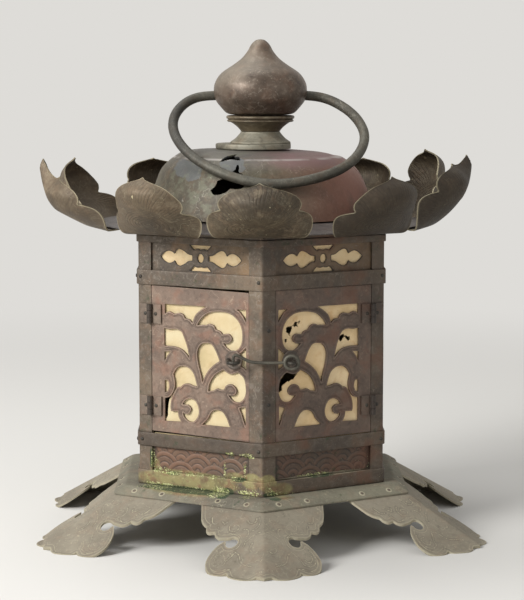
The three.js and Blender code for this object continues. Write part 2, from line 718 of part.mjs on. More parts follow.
// Joins two grids of points, one behind the other, with an edge all round
function closedSheet(front, back, rowCount, columnCount) {
  const offset = front.length;
  const index = [];
  const quad = (a, b, c, d) => index.push(a, c, b, a, d, c);
  for (let row = 0; row + 1 < rowCount; row += 1) {
    for (let column = 0; column + 1 < columnCount; column += 1) {
      const a = row * columnCount + column;
      const c = a + columnCount + 1;
      quad(a, a + columnCount, c, a + 1);
      quad(a + offset, a + 1 + offset, c + offset, a + columnCount + offset);
    }
  }
  const last = (rowCount - 1) * columnCount;
  for (let column = 0; column + 1 < columnCount; column += 1) {
    quad(column, column + 1, column + 1 + offset, column + offset);
    quad(last + column + 1, last + column, last + column + offset, last + column + 1 + offset);
  }
  for (let row = 0; row + 1 < rowCount; row += 1) {
    const left = row * columnCount;
    const right = left + columnCount - 1;
    quad(left + columnCount, left, left + offset, left + columnCount + offset);
    quad(right, right + columnCount, right + columnCount + offset, right + offset);
  }
  const geometry = new THREE.BufferGeometry();
  geometry.setAttribute('position', new THREE.Float32BufferAttribute([...front, ...back].flat(), 3));
  geometry.setIndex(index);
  return geometry;
}

for (let k = 0; k < petalCount; k += 1) {
  add(`petal_${k + 1}`, petal(petalLean[k % petalLean.length]), petalCopper, sector((360 * k) / petalCount));
}

// Finial, turned, on a rod that is headed inside the jewel and drawn up by a nut under the dome
function finialBase() {
  const stepFoot = domeTop + seatGap;
  return turned([
    [rodHole, stepFoot], [stepRadius, stepFoot], [stepRadius, stepTop],
    [neckRadius * 1.53, stepTop + bellHigh * 0.08], [neckRadius * 1.26, stepTop + bellHigh * 0.3],
    [neckRadius * 1.09, stepTop + bellHigh * 0.6], [neckRadius, bellTop], [rodHole, bellTop],
  ], 28);
}

function finialCollar() {
  const neckTop = collarFoot + neckHigh;
  return turned([
    [rodHole, collarFoot], [neckRadius, collarFoot], [neckRadius * 1.1, collarFoot + neckHigh * 0.4],
    [neckRadius * 1.3, collarFoot + neckHigh * 0.75], [collarRadius - 2, neckTop],
    [collarRadius - 0.4, neckTop + collarHigh * 0.2],
    [collarRadius, neckTop + collarHigh * 0.5], [collarRadius - 0.4, neckTop + collarHigh * 0.8],
    [collarRadius - 3, collarTop], [rodHole, collarTop],
  ], 28);
}

function finialJewel() {
  const line = [
    [0.52, 0], [0.71, 0.02], [0.86, 0.11], [0.966, 0.205], [1, 0.322], [0.966, 0.437], [0.832, 0.555],
    [0.562, 0.67], [0.394, 0.752], [0.272, 0.846], [0.196, 0.93], [0.11, 0.985],
  ];
  const outer = line.map(([out, up]) => [jewelRadius * out, jewelFoot + jewelHigh * up]);
  const tip = jewelFoot + jewelHigh;
  const innerUp = shell(outer.slice(1, 9), jewelWall).slice(8).reverse();
  const cavityFoot = jewelFoot + jewelWall;
  const cavityTop = innerUp.at(-1)[1] + jewelWall;
  const wallInside = innerUp.filter(([, height]) => height > cavityFoot + 1);
  const profile = [
    [0, cavityTop], ...wallInside.reverse(), [wallInside.at(-1)[0] * 0.93, cavityFoot], [rodHole, cavityFoot],
    [rodHole, jewelFoot], ...outer, [0, tip],
  ];
  const bailBore = bailRodRadius + turnGap;
  const bore = rodBetween(bailBore, [-jewelRadius - 2, 0, bailPivot], [jewelRadius + 2, 0, bailPivot], 16);
  return cut(turned(profile, 28), bore);
}

function finialRod() {
  const headFoot = jewelFoot + jewelWall + seatGap;
  const low = domeTop - domeThick - seatGap - nutHigh - rodTail;
  return turned([
    [0, low], [rodRadius, low], [rodRadius, headFoot], [rodHeadRadius, headFoot],
    [rodHeadRadius, headFoot + rodHeadHigh], [0, headFoot + rodHeadHigh],
  ], 16);
}

function rodNut() {
  const top = domeTop - domeThick - seatGap;
  const hexagon = new THREE.CylinderGeometry(nutRadius, nutRadius, nutHigh, 6).rotateX(Math.PI / 2);
  const hole = new THREE.CylinderGeometry(rodHole, rodHole, 2 * nutHigh, 16).rotateX(Math.PI / 2);
  return cut(hexagon, hole).translate(0, 0, top - nutHigh / 2);
}

add('finial_base', finialBase(), finialCopper);
add('finial_collar', finialCollar(), finialCopper);
add('finial_jewel', finialJewel(), finialCopper);
add('finial_rod', finialRod(), dullBronze);
add('rod_nut', rodNut(), dullBronze);

// Bail: one rod, its ends level in the jewel's sides, its hand-bent loop an oval that leans a little right
function foldedDown([x, reach], fold) {
  return [x, -reach * Math.cos(fold), bailPivot - reach * Math.sin(fold)];
}

// The angle below level at which the loop comes to lie on the dome, found in small steps down from level
function restingFold(loop) {
  const line = outlinePoints([loop], 3);
  const outside = [...domeLine, [0, domeTop]].map(([radius, height]) => new THREE.Vector3(radius, height, 0));
  const walls = outside.slice(1).map((end, k) => new THREE.Line3(outside[k], end));
  const gapAt = (fold) => Math.min(...line.flatMap((point) => {
    const [x, y, z] = foldedDown(point, fold);
    const place = new THREE.Vector3(Math.hypot(x, y), z, 0);
    return walls.map((wall) => wall.closestPointToPoint(place, true, new THREE.Vector3()).distanceTo(place));
  }));
  const foldStep = THREE.MathUtils.degToRad(0.5);
  let fold = 0;
  while (fold < Math.PI / 3 && gapAt(fold + foldStep) > bailRodRadius + seatGap) {
    fold += foldStep;
  }
  return fold;
}

function bailRing() {
  const loop = bailLoop.map(([across, out]) => [bailHalfWide * across + bailLean * out, bailReach * out]);
  const fold = restingFold(loop);
  const place = (point) => foldedDown(point, fold);
  const straight = [0, 0.6, 1].map((share) => bailEndReach + share * (jewelRadius + 3.5 - bailEndReach));
  const points = [...straight.map((x) => [-x, 0]), ...loop, ...straight.reverse().map((x) => [x, 0])];
  return wireAlong(points.map(place), bailRodRadius, 44);
}

add('bail_ring', bailRing(), darkIron);

// What the lantern holds
function dishStand() {
  const low = floorTop + seatGap;
  return turned([
    [dishFootRadius - dishWall, low], [dishFootRadius, low], [dishFootRadius, low + dishFootHigh],
    [dishFootRadius - dishWall, low + dishFootHigh],
  ], 28);
}

function oilDish() {
  const low = floorTop + dishFootHigh + 2 * seatGap;
  const at = (share, up) => [dishRadius * share, low + up];
  const outer = [[0, low], at(0.7, 0), at(0.86, dishHigh * 0.2), at(0.95, dishHigh * 0.55), at(1, dishHigh)];
  const inner = [
    [dishRadius - dishWall, low + dishHigh], [dishRadius * 0.95 - dishWall, low + dishHigh * 0.6],
    [dishRadius * 0.84 - dishWall, low + dishHigh * 0.26 + dishWall / 2], at(0.68, dishWall),
    [0, low + dishWall],
  ];
  return turned([...outer, ...inner], 28);
}

add('dish_stand', dishStand(), dullBronze);
add('oil_dish', oilDish(), dullBronze);

export default lantern;
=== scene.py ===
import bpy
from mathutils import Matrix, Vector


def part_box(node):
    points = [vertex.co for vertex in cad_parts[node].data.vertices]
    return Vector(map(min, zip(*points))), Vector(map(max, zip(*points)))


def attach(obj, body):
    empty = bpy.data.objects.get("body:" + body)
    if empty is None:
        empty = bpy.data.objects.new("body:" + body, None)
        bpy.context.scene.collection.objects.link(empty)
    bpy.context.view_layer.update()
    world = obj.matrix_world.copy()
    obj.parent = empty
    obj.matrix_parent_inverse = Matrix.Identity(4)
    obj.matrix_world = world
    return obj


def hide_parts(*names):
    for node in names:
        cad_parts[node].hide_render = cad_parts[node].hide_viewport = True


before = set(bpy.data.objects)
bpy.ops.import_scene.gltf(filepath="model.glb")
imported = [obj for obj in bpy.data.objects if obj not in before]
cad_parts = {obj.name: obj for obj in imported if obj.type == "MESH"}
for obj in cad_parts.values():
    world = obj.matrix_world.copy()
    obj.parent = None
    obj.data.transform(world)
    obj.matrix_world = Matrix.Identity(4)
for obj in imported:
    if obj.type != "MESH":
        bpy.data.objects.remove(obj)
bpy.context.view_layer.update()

import math
import bpy
import bmesh
import numpy as np

# A hexagonal hanging lantern of old sheet copper. Shapes are worked out in millimetres and go into
# the meshes in metres. Azimuths are in degrees from the front corner (-Y), positive towards +X.
mm = 0.001
tan30 = math.tan(math.pi / 6)
cos30 = math.cos(math.pi / 6)
sides = (('left', -1), ('right', 1))
faceAzimuths = range(30, 390, 60)
cornerNames = ['front', 'front_right', 'back_right', 'back', 'back_left', 'front_left']

# Distances of the walls from the axis and levels above the ground, as in the solids
wall = {'strap': 84.25, 'post': 82.95, 'panel': 81.45, 'door': 82.95}
level = {
    'floor': 37.563, 'bottomBand': (37.863, 47.563), 'lowerBand': (64.063, 73.163),
    'upperBand': (174.163, 184.063), 'topBand': (202.663, 207.363),
    'domeFoot': 217.467, 'domeTop': 262.867, 'bellTop': 274.767, 'collarTop': 286.067,
    'jewelFoot': 286.367, 'bailPivot': 299.567,
}


cameraSet = {
    'distance': 1380, 'height': 320.6, 'pitch': 6.75, 'turn': 0.84, 'aside': 1.12, 'lens': 119.16,
    'sensor': 36, 'clipEnd': 20,
}


def makeCamera():
    # At distance times (-sin turn, -cos turn) from the axis and a little aside, looking down by the pitch
    c = cameraSet
    turn = math.radians(c['turn'])
    data = bpy.data.cameras.new('camera')
    data.lens, data.sensor_width, data.clip_end = c['lens'], c['sensor'], c['clipEnd']
    camera = bpy.data.objects.new('camera', data)
    x = -c['distance'] * math.sin(turn) + c['aside']
    y = -c['distance'] * math.cos(turn)
    camera.location = (x * mm, y * mm, c['height'] * mm)
    camera.rotation_euler = (math.radians(90 - c['pitch']), 0, -turn)
    bpy.context.scene.collection.objects.link(camera)
    bpy.context.scene.camera = camera


makeCamera()
print('camera set')


class Wire:
    # A node socket: a sum on it adds a Math node
    def __init__(self, shader, socket):
        self.shader = shader
        self.socket = socket

    def sum(self, operation, first, second=0.0):
        return self.shader.node('ShaderNodeMath', {'operation': operation}, {0: first, 1: second})

    def __add__(self, other):
        return self.sum('ADD', self, other)

    def __sub__(self, other):
        return self.sum('SUBTRACT', self, other)

    def __rsub__(self, other):
        return self.sum('SUBTRACT', other, self)

    def __mul__(self, other):
        return self.sum('MULTIPLY', self, other)

    __radd__, __rmul__ = __add__, __mul__

    def __abs__(self):
        return self.sum('ABSOLUTE', self)

    def sine(self):
        return self.sum('SINE', self)

    def root(self):
        return self.sum('SQRT', self)

    def most(self, other):
        return self.sum('MAXIMUM', self, other)

    def step(self, low, high):
        # 0 below low, 1 above high, smooth between; low may be the larger
        return self.shader.node('ShaderNodeMapRange', {'interpolation_type': 'SMOOTHSTEP'},
                                {0: self, 1: low, 2: high, 3: 0.0, 4: 1.0})


class Shader:
    # The nodes of a material or of the world, which node() makes
    def __init__(self, tree, outputKind):
        self.tree = tree
        tree.nodes.clear()
        self.output = tree.nodes.new(outputKind)

    def node(self, kind, settings=None, values=None, output=0):
        # Any node: its settings first, then the values or links of its sockets
        made = self.tree.nodes.new(kind)
        for key, value in (settings or {}).items():
            setattr(made, key, value)
        for key, value in (values or {}).items():
            self.feed(made.inputs[key], value)
        return Wire(self, made.outputs[output])

    def feed(self, socket, value):
        if isinstance(value, Wire):
            self.tree.links.new(value.socket, socket)
        elif isinstance(value, tuple) and socket.type == 'RGBA':
            socket.default_value = (*value, 1)
        else:
            socket.default_value = value

    def show(self, surface):
        self.feed(self.output.inputs[0], surface)

    def seen(self):
        # 1 for what the camera, a reflection or a look through glass shows, 0 for light that falls on things
        camera, glossy, through = (self.node('ShaderNodeLightPath', output=ray) for ray in
                                   ('Is Camera Ray', 'Is Glossy Ray', 'Is Transmission Ray'))
        return camera.most(glossy).most(through)


class Finish(Shader):
    # A material: its main shader, and the colour, height and roughness laid on so far
    def __init__(self, name):
        self.material = bpy.data.materials.new(name)
        self.material.use_nodes = True
        super().__init__(self.material.node_tree, 'ShaderNodeOutputMaterial')
        self.main = self.tree.nodes.new('ShaderNodeBsdfPrincipled')
        self.show(Wire(self, self.main.outputs[0]))
        self.at = self.node('ShaderNodeTexCoord', output='Object')

    def set(self, **sockets):
        for key, value in sockets.items():
            self.feed(self.main.inputs[key.replace('_', ' ')], value)

    def axes(self, vector=None):
        parts = self.node('ShaderNodeSeparateXYZ', values={0: vector or self.at})
        return [Wire(self, parts.socket.node.outputs[k]) for k in range(3)]

    def facing(self):
        # The way the flat surface faces, without its bumps
        return self.axes(self.node('ShaderNodeNewGeometry', output='True Normal'))

    def noise(self, scale, detail, rough, warp=0.0):
        return self.node('ShaderNodeTexNoise', values={
            'Vector': self.at, 'Scale': scale, 'Detail': detail, 'Roughness': rough, 'Distortion': warp})

    def mix(self, share, first, second):
        # From the first colour to the second by this share; each is a mix or a six-digit colour
        first, second = (tint(c) if isinstance(c, str) else c for c in (first, second))
        return self.node('ShaderNodeMix', {'data_type': 'RGBA'}, {0: share, 6: first, 7: second}, 2)

    def over(self, share, colour):
        # Lays a colour over the finish by this share
        self.colour = self.mix(share, self.colour, colour)

    def attribute(self, name):
        return self.node('ShaderNodeAttribute', {'attribute_name': name}, output='Fac')

    def bump(self, height):
        return self.node('ShaderNodeBump', values={'Height': height, 'Distance': mm, 'Strength': 1.0})


def tint(code):
    # Linear red, green and blue of a six-digit colour as it looks on screen
    values = [int(code[k:k + 2], 16) / 255 for k in (0, 2, 4)]
    return tuple(v / 12.92 if v <= 0.04045 else ((v + 0.055) / 1.055) ** 2.4 for v in values)


def pairsOf(run):
    # A row of numbers as places: across, up, across, up and so on
    return np.reshape(run, (-1, 2)).astype(float)


def smoothRun(points, steps):
    # Catmull-Rom: each span is the cubic through its ends with slopes from the neighbours
    p = np.asarray(points, float)
    if len(p) == 2:
        return p
    before = np.vstack([p[:1], p[:-2]])
    after = np.vstack([p[2:], p[-1:]])
    t = np.linspace(0, 1, steps, endpoint=False)[:, None, None]
    a, b = p[:-1], p[1:]
    spans = 0.5 * (2 * a + (b - before) * t + (2 * before - 5 * a + 4 * b - after) * t ** 2
                   + (3 * a - before - 3 * b + after) * t ** 3)
    return np.vstack([spans.transpose(1, 0, 2).reshape(-1, p.shape[1]), p[-1:]])


def smoothRuns(runs, steps):
    # Runs of smooth curve that meet at corners
    line = [pairsOf(runs[0])[:1]]
    for index, run in enumerate(runs):
        through = pairsOf(run) if index == 0 else np.vstack([line[-1][-1:], pairsOf(run)])
        if len(through) > 1:
            line.append(smoothRun(through, steps)[1:])
    return np.vstack(line)


def closedRun(run, steps=3):
    # A smooth curve back to its start, which isn't repeated
    points = pairsOf(run)
    return smoothRun(np.vstack([points, points[:1]]), steps)[:-1]


def lengths(points):
    # How far along the line each of its points is
    return np.concatenate([[0], np.cumsum(np.linalg.norm(np.diff(points, axis=0), axis=1))])


def along(line, count):
    # The same curve with points at equal distances
    line = np.asarray(line, float)
    reach = lengths(line)
    at = np.linspace(0, reach[-1], count)
    return np.column_stack([np.interp(at, reach, line[:, k]) for k in range(line.shape[1])])


def awayFrom(points, line, closed=True):
    # Distance from each point to the nearest segment of the line, by blocks of segments to save memory
    block = 64
    ends = np.roll(line, -1, axis=0) if closed else line[1:]
    starts = line if closed else line[:-1]
    best = np.full(len(points), 1e9)
    for part in range(0, len(starts), block):
        a, b = starts[part:part + block], ends[part:part + block]
        way = b - a
        size = np.maximum((way ** 2).sum(1), 1e-12)
        off = points[:, None, :] - a
        share = np.clip((off * way).sum(2) / size, 0, 1)
        gap = off - share[:, :, None] * way
        best = np.minimum(best, np.sqrt((gap ** 2).sum(2).min(1)))
    return best


def insideOf(points, line):
    # Even-odd rule: counts the segments that a ray towards +x crosses
    a, b = line, np.roll(line, -1, axis=0)
    y = points[:, 1:2]
    crosses = (a[:, 1] > y) != (b[:, 1] > y)
    slope = (b[:, 0] - a[:, 0]) / np.where(b[:, 1] == a[:, 1], 1e-12, b[:, 1] - a[:, 1])
    return (crosses & (points[:, :1] < a[:, 0] + slope * (y - a[:, 1]))).sum(1) % 2 == 1


def signedAway(points, line):
    # Positive outside the closed line, negative inside it
    return np.where(insideOf(points, line), -1, 1) * awayFrom(points, line)


def flatPoints(u, v):
    # Two grids as one list of places
    return np.column_stack([u.ravel(), v.ravel()])


def fullTurn(count):
    # This many angles round the circle
    return np.linspace(0, 2 * np.pi, count, endpoint=False)


def aboutAxis(radius, angle, height):
    # Places at these radii and heights, angles counted from the front
    return np.stack([radius * np.sin(angle), -radius * np.cos(angle), height + 0 * radius], axis=-1)


def gridFaces(rows, columns, wrapRows=False, wrapColumns=False):
    # Four-sided faces between the points of a grid numbered row by row, joined end to end where it wraps
    r = np.arange(rows if wrapRows else rows - 1)[:, None]
    c = np.arange(columns if wrapColumns else columns - 1)[None, :]
    r1, c1 = (r + 1) % rows, (c + 1) % columns
    quads = [r * columns + c, r * columns + c1, r1 * columns + c1, r1 * columns + c]
    return np.stack([q + 0 * quads[0] for q in quads], axis=-1).reshape(-1, 4)


def putMesh(name, shape, finish, stands=(), body='lantern', sharp=35, weld=False):
    # A shape is its points in millimetres, its faces as arrays of point numbers, and its values at each point
    points, faces, values = shape
    mesh = bpy.data.meshes.new(name)
    lists = [f for part in (faces if isinstance(faces, list) else [faces]) for f in part.tolist()]
    mesh.from_pydata((np.asarray(points) * mm).tolist(), [], lists)
    for key, value in values.items():
        layer = mesh.attributes.new(key, 'FLOAT', 'POINT')
        layer.data.foreach_set('value', np.asarray(value, np.float32).ravel())
    mesh.polygons.foreach_set('use_smooth', np.ones(len(mesh.polygons), bool))
    if weld:
        welded = bmesh.new()
        welded.from_mesh(mesh)
        bmesh.ops.remove_doubles(welded, verts=welded.verts, dist=1e-6)
        welded.to_mesh(mesh)
        welded.free()
    mesh.set_sharp_from_angle(angle=math.radians(sharp))
    mesh.validate()
    piece = bpy.data.objects.new(name, mesh)
    bpy.context.scene.collection.objects.link(piece)
    mesh.materials.append(finish)
    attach(piece, body)
    if stands:
        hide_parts(*stands)


def aroundAxis(points, azimuth):
    # Turns points about the vertical axis, from the front to this azimuth
    turn = np.radians(azimuth)
    p = np.asarray(points, float)
    x = p[..., 0] * np.cos(turn) - p[..., 1] * np.sin(turn)
    y = p[..., 0] * np.sin(turn) + p[..., 1] * np.cos(turn)
    return np.stack([x, y, p[..., 2]], axis=-1)


def turnedTo(shape, azimuth):
    # The same shape, its points turned about the axis
    points, faces, values = shape
    return aroundAxis(points, azimuth), faces, values


def joinedParts(parts):
    # Several shapes as one
    points, faces, values, start = [], [], {}, 0
    for p, f, v in parts:
        points.append(p)
        faces += [g + start for g in (f if isinstance(f, list) else [f])]
        for key, value in v.items():
            values.setdefault(key, []).append(np.ravel(value))
        start += len(p)
    return np.vstack(points), faces, {k: np.concatenate(v) for k, v in values.items()}


def sheetWalls(edges, size):
    # Quads from each edge of the front grid to the same edge of the back one, whose numbers are size higher
    p, q = edges.T
    return np.column_stack([p, p + size, q + size, q])


def trimmedSheet(front, back, field, values=None, wrap=False):
    # A sheet with two sides over a grid, kept where field > 0. Each cell is two triangles; a triangle that
    # the edge of the sheet crosses is cut where field is 0, and a wall joins the two sides along that edge.
    rows, columns = field.shape
    quads = gridFaces(rows, columns, wrapRows=wrap)[:, ::-1]
    odd = (quads[:, 0] // columns + quads[:, 0] % columns) % 2 == 1
    turned = np.where(odd[:, None], np.roll(quads, 1, axis=1), quads)
    triangles = np.vstack([turned[:, [0, 1, 2]], turned[:, [0, 2, 3]]])
    flat = field.ravel()
    inside = flat[triangles] > 0
    count = inside.sum(1)
    whole = triangles[count == 3]

    def cutOnes(wanted, lone):
        # Triangles with this many corners inside, each turned to begin at its lone corner
        chosen = triangles[count == wanted]
        first = np.argmax(inside[count == wanted] == lone, axis=1)
        index = (first[:, None] + np.arange(3)) % 3
        return np.take_along_axis(chosen, index, axis=1)

    one, two = cutOnes(1, True), cutOnes(2, False)
    pairs = np.vstack([one[:, [0, 1]], one[:, [0, 2]], two[:, [0, 1]], two[:, [0, 2]]])
    key = pairs.min(1).astype(np.int64) * flat.size + pairs.max(1)
    unique, where = np.unique(key, return_inverse=True)
    where = where.ravel() + flat.size
    a, b = unique // flat.size, unique % flat.size
    share = np.clip(flat[a] / np.where(flat[a] == flat[b], 1e-9, flat[a] - flat[b]), 0.04, 0.96)[:, None]
    n1, n2 = len(one), len(two)
    e1, e2, e3, e4 = np.split(where, [n1, 2 * n1, 2 * n1 + n2])
    faces = np.vstack([whole, np.column_stack([one[:, 0], e1, e2]),
                       np.column_stack([e3, two[:, 1], two[:, 2]]), np.column_stack([e3, two[:, 2], e4])])
    edge = np.vstack([np.column_stack([e1, e2]), np.column_stack([e4, e3])])

    def extended(data):
        # The grid's values, then those at the cuts: first + share (second - first)
        data = np.asarray(data, float).reshape(flat.size, -1)
        return np.vstack([data, data[a] + share * (data[b] - data[a])])

    used, compact = np.unique(faces, return_inverse=True)
    faces = compact.reshape(-1, 3)
    size = len(used)
    points = np.vstack([extended(front)[used], extended(back)[used]])
    out = {k: np.tile(extended(v)[used].ravel(), 2) for k, v in (values or {}).items()}
    return points, [faces, faces[:, ::-1] + size, sheetWalls(np.searchsorted(used, edge), size)], out


def sheetOf(front, back):
    # Two grids of points, rows to the right and columns up as seen from the front one, joined all round
    rows, columns = front.shape[:2]
    size = rows * columns
    quads = gridFaces(rows, columns)[:, ::-1]
    low, rise = np.arange(rows) * columns, np.arange(columns)
    high = low + columns - 1
    loop = np.concatenate([low, low[-1] + rise[1:], high[-2::-1], rise[-2:0:-1]])
    walls = sheetWalls(np.column_stack([loop, np.roll(loop, -1)]), size)
    return np.vstack([front.reshape(-1, 3), back.reshape(-1, 3)]), [quads, quads[:, ::-1] + size, walls], {}


def plateGrid(left, right, low, high, cell):
    # Grid over a flat plate and one cell beyond it, and the distance in from its outline
    u = np.linspace(left - cell, right + cell, int(round((right - left) / cell)) + 3)
    v = np.linspace(low - cell, high + cell, int(round((high - low) / cell)) + 3)
    uu, vv = np.meshgrid(u, v, indexing='ij')
    return uu, vv, np.minimum(np.minimum(uu - left, right - uu), np.minimum(vv - low, high - vv))


def twoSides(u, v, out, thick):
    # The outer and the inner grid of a sheet that faces the front, out being its distance from the axis
    return [np.stack([u, -(out - d), v], axis=-1) for d in (0, thick)]


def turnedSurface(profile, around):
    # Profile (radius, height), closed on itself or ending on the axis, carried round the axis
    p = np.asarray(profile, float)
    angle = fullTurn(around)[:, None]
    points = np.stack([p[:, 0] * np.cos(angle), p[:, 0] * np.sin(angle), p[:, 1] + 0 * angle], axis=-1)
    onAxis = p[0, 0] == 0 and p[-1, 0] == 0
    faces = gridFaces(around, len(p), wrapRows=True, wrapColumns=not onAxis)[:, ::-1]
    return points.reshape(-1, 3), faces, {}


def tubeSurface(line, across, radius, around):
    # A round rod along a flat curve: rings of this radius in the plane of across and the curve's own normal.
    # Its ends are rounded: the last rings shrink as the cosine of an angle, out along the sine of it.
    line = np.asarray(line, float)
    radius = np.broadcast_to(np.asarray(radius, float), len(line))
    way = np.gradient(line, axis=0)
    way /= np.linalg.norm(way, axis=1, keepdims=True)
    bend = np.radians([80, 60, 40, 20])
    head = line[0] - radius[0] * np.sin(bend)[:, None] * way[0]
    tail = line[-1] + radius[-1] * np.sin(bend[::-1])[:, None] * way[-1]
    line = np.vstack([head, line, tail])
    radius = np.concatenate([radius[0] * np.cos(bend), radius, radius[-1] * np.cos(bend[::-1])])
    way = np.vstack([np.tile(way[0], (len(bend), 1)), way, np.tile(way[-1], (len(bend), 1))])
    side = np.asarray(across, float) / np.linalg.norm(across)
    up = np.cross(way, side)
    angle = fullTurn(around)
    ring = np.cos(angle)[None, :, None] * side + np.sin(angle)[None, :, None] * up[:, None, :]
    points = (line[:, None, :] + radius[:, None, None] * ring).reshape(-1, 3)
    last = len(points) - around
    caps = [np.arange(around)[None, ::-1], np.arange(last, last + around)[None]]
    return points, [gridFaces(len(line), around, wrapColumns=True), *caps], {}


def hexSweep(section):
    # A section (apothem, height) carried round a hexagon with slightly rounded corners. The distance from
    # the axis is apothem / (sum over the six faces of cos(angle to the face) ^ power) ^ (1 / power).
    # The azimuths crowd at the corners: 30 sin(t) either side of each face's middle.
    power, perFace = 150, 24
    s = np.asarray(section, float)
    t = np.linspace(-np.pi / 2, np.pi / 2, perFace, endpoint=False)
    faceMiddles = np.array(faceAzimuths)
    angle = np.radians((faceMiddles[:, None] + 30 * np.sin(t)).ravel())
    cosines = np.maximum(np.cos(angle[:, None] - np.radians(faceMiddles)), 0) ** power
    radius = s[:, 0] / (cosines.sum(1) ** (1 / power))[:, None]
    points = aboutAxis(radius, angle[:, None], s[:, 1])
    onAxis = s[0, 0] == 0 and s[-1, 0] == 0
    faces = gridFaces(len(angle), len(s), wrapRows=True, wrapColumns=not onAxis)[:, ::-1]
    return points.reshape(-1, 3), faces, {}


def domes(places, normals, radius, height, around=12):
    # Low rivet heads: rings of radius r sin(t) at height h cos(t) along each normal, a little sunk
    p, n = np.asarray(places, float), np.asarray(normals, float)
    n = n / np.linalg.norm(n, axis=1, keepdims=True)
    side = np.cross(n, (0.3, 0.2, 1.0))
    side /= np.linalg.norm(side, axis=1, keepdims=True)
    other = np.cross(n, side)
    t = np.radians([1, 30, 55, 75, 90, 90])
    lift = height * np.cos(t) - np.array([0, 0, 0, 0, 0, 0.5])
    a = fullTurn(around)
    ring = (np.cos(a)[:, None] * side[:, None, :] + np.sin(a)[:, None] * other[:, None, :])
    points = (p[:, None, None, :] + lift[None, :, None, None] * n[:, None, None, :]
              + radius * np.sin(t)[None, :, None, None] * ring[:, None, :, :])
    each = len(t) * around
    starts = np.arange(len(p))[:, None, None] * each
    walls = (gridFaces(len(t), around, wrapColumns=True)[:, ::-1][None] + starts).reshape(-1, 4)
    tops = (np.arange(around)[None, None] + starts).reshape(-1, around)
    feet = (np.arange(each - around, each)[::-1][None, None] + starts).reshape(-1, around)
    return points.reshape(-1, 3), [walls, tops, feet], {}


def wobble(x, y, z, seed):
    # The unevenness of hand work, from -1 to 1: slow sines of the place, summed
    waves = [(0.043, 0.051, 0.038), (0.097, -0.083, 0.071), (-0.19, 0.23, 0.21)]
    total = sum(np.sin(a * x + b * y + c * z + seed * (k + 1.3) + k) / (k + 1.4)
                for k, (a, b, c) in enumerate(waves))
    return total / 1.55


def uneven(points, size, seed):
    # Moves each point out from the axis and up by two different wobbles
    x, y, z = np.moveaxis(np.asarray(points, float), -1, 0)
    out = 1 + size * wobble(x, y, z, seed) / np.maximum(np.hypot(x, y), 1)
    return np.stack([x * out, y * out, z + size * wobble(x, y, z, seed + 5)], axis=-1)


# Each old finish starts from these: how fine its noises are (per metre), how much of each tone shows, how
# deep its grit and dents are in millimetres, and its gloss
plainLook = {
    'broad': 24, 'cloud': 95, 'grain': 620, 'mottle': 210, 'warmShare': 0.6, 'paleShare': 0.35, 'spots': 0.3,
    'grit': 0.05, 'dent': 0.22, 'rough': 0.38, 'metal': 0.35,
}


def patina(name, ownLook, carve=None, extra=()):
    # Old copper: from dark to plain by broad noise; then each tone is laid over by smooth steps of cloudy or
    # fine noise, and hair scratches where a noise is near 0.5. The height is grain + cloud + mottle, each by
    # its depth. carve gives a relief, its dark lines and its light ones: grooves and rubbed ridges, or on
    # some sheets painted shade and a painted highlight at the openings' edges; extra adds colours, and on
    # some finishes painted shade or sheen, in their places.
    look = {**plainLook, **ownLook}
    f = Finish(name)
    broad = f.noise(look['broad'], 3, 0.5)
    f.cloud = f.noise(look['cloud'], 6, 0.62, 0.3)
    f.grain = f.noise(look['grain'], 4, 0.6)
    mottle = f.noise(look['mottle'], 6, 0.7, 0.6)
    f.colour = look['dark']
    f.over(broad.step(0.34, 0.66), look['base'])
    f.over(f.cloud.step(0.47, 0.68) * look['warmShare'], look['warm'])
    f.over(f.grain.step(0.56, 0.74) * look['paleShare'], look['pale'])
    f.over((f.cloud * 0.6 + f.grain * 0.4).step(0.42, 0.3) * 0.55, look['sootAndShade'])
    f.over(mottle.step(0.5, 0.33) * look['spots'], look['sootAndShade'])
    f.over(mottle.step(0.51, 0.66) * look['spots'] * 0.75, look['pale'])
    hair = abs(f.noise(48, 3, 0.5) - 0.5).step(0.0045, 0.001) * f.grain.step(0.42, 0.52)
    f.over(hair * 0.45, look['rubAndHighlight'])
    f.height = f.grain * look['grit'] + f.cloud * look['dent'] + mottle * 0.06
    if carve:
        raised, groove, light = carve(f)
        f.height = f.height + raised
        # grooves, or the painted shade of some carvings
        f.over(groove, look['sootAndShade'])
        # rubbed ridges, or the painted highlight of some carvings
        f.over(light, look['rubAndHighlight'])
    f.rough = f.grain * 0.22 + f.cloud * 0.16 + look['rough']
    for add in extra:
        add(f)
    f.set(Base_Color=f.colour, Roughness=f.rough, Metallic=look['metal'], Normal=f.bump(f.height))
    return f.material


def grooveAt(distance, at, half):
    # 1 on the line at this distance, 0 beyond half its width
    return abs(distance - at).step(half, half * 0.35)


def ovalOf(s, t, halfS, halfT):
    # (s / its half axis)^2 + (t / its half axis)^2, which is 1 on the ellipse
    s, t = s * (1 / halfS), t * (1 / halfT)
    return s * s + t * t


